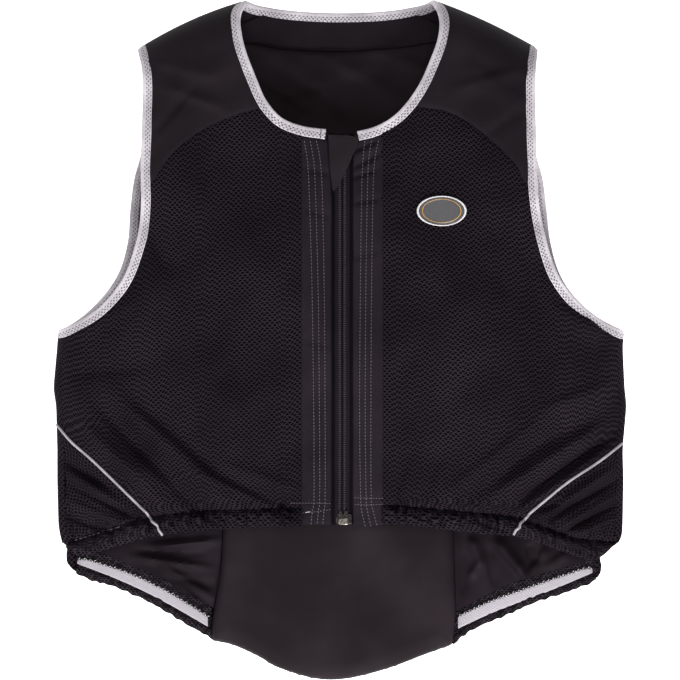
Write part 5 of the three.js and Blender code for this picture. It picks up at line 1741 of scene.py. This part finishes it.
def fill_gripper(side):
    sign = SIGN[side]
    top_rows, low_rows = GRIPPER_TOP[side], GRIPPER_LOW[side]
    inner = max(top_rows[-1][0], low_rows[-1][0]) * HALF_WIDTH
    outer = min(top_rows[0][0], low_rows[0][0]) * HALF_WIDTH
    xs = side_span(sign, inner, outer, BAND_STEP)
    top = level_of(top_rows, sign, xs)
    low_line = across_line(xs, level_of(low_rows, sign, xs))
    high_line = across_line(xs, top + 0.3 * gather_wave(xs * 1.7))
    carry, faces = ruled_patch(False, low_line, high_line, GRIPPER_ROWS)
    carry[:, 3] = np.repeat(np.linspace(0, GRIPPER_SPAN, GRIPPER_ROWS + 1), len(xs))

    def rim(x, y):
        return np.minimum(level_of(top_rows, sign, x) - y, y - level_of(low_rows, sign, x))

    levels = (-GRIPPER_LEVEL, -GRIPPER_LEVEL - GRIPPER_WALL - 0.3)
    slab(f"gripper_cloth_{side}", False, (carry, faces), levels, GRIPPER, "gripper_tape",
         [f"gripper_tape_{side}"], soft=[rim], lift=lambda x, y: -0.12 * gather_wave(x * 1.9))
    line = across_line(xs, top + 0.6)
    line = line + drifts(line[:, :1], line[:, 1:], GRIPPER_DRIFT)
    place, normal = on_cloth(False, line, -GRIPPER_LEVEL - 0.9)
    for shade_name, pitch, slant, radius, material in GRIPPER_THREADS:
        row = sewn_row(place, -normal, pitch, slant=slant, swing=0.4)
        sew(f"gripper_stitches_{shade_name}_{side}", [row], 2.3, radius, material, "gripper_tape")


# A few light stitches where the hem seam runs out to the side
CORNER_SEAM = [[-0.94, 0.2045], [-0.885, 0.2115], [-0.83, 0.2185], [-0.775, 0.2255]]


def fill_corner():
    row = sewn_row(*on_cloth(True, spline(page(CORNER_SEAM), 60), 0.1), pitch=4.6)
    sew("hem_corner_stitches", [row], 3.2, 0.3, THREAD_LIGHT)


# Lights: name, place, size and power
LIGHTS = [
    ("key", (0.7, -2.4, 1.7), 0.8, 168.0),
    ("fill", (-2.3, -0.7, 1.5), 1.2, 52.0),
    ("top", (0.3, 1.2, 3.2), 1.8, 48.0),
]
WORLD_STRENGTH = 0.26


def add_light(name, place, size, power):
    data = bpy.data.lights.new(name, "AREA")
    data.shape = "SQUARE"
    data.size = size
    data.energy = power
    lamp = bpy.data.objects.new(name, data)
    lamp.location = place
    aim = np.array(place) * -1
    tilt = math.atan2(math.hypot(aim[0], aim[1]), -aim[2])
    lamp.rotation_euler = (tilt, 0, math.atan2(aim[0], -aim[1]) + math.pi)
    bpy.context.collection.objects.link(lamp)


def add_world():
    world = bpy.data.worlds.new("studio")
    world.use_nodes = True
    background = world.node_tree.nodes["Background"]
    background.inputs["Color"].default_value = (1.0, 1.0, 1.0, 1.0)
    background.inputs["Strength"].default_value = WORLD_STRENGTH
    bpy.context.scene.world = world
    bpy.context.scene.view_settings.view_transform = "Standard"


for fill in (fill_front, fill_hem, fill_placket):
    for side in SIDES:
        fill(side)
fill_zip()
fill_garage()
fill_badge()
for side in SIDES:
    fill_piping(side)
fill_bindings()
fill_neck_tab()
add_floor()
fill_back()
fill_pad()
fill_facing()
for side in SIDES:
    fill_lining(side)
    fill_band(side)
    fill_gripper(side)
fill_corner()
for light in LIGHTS:
    add_light(*light)
add_world()
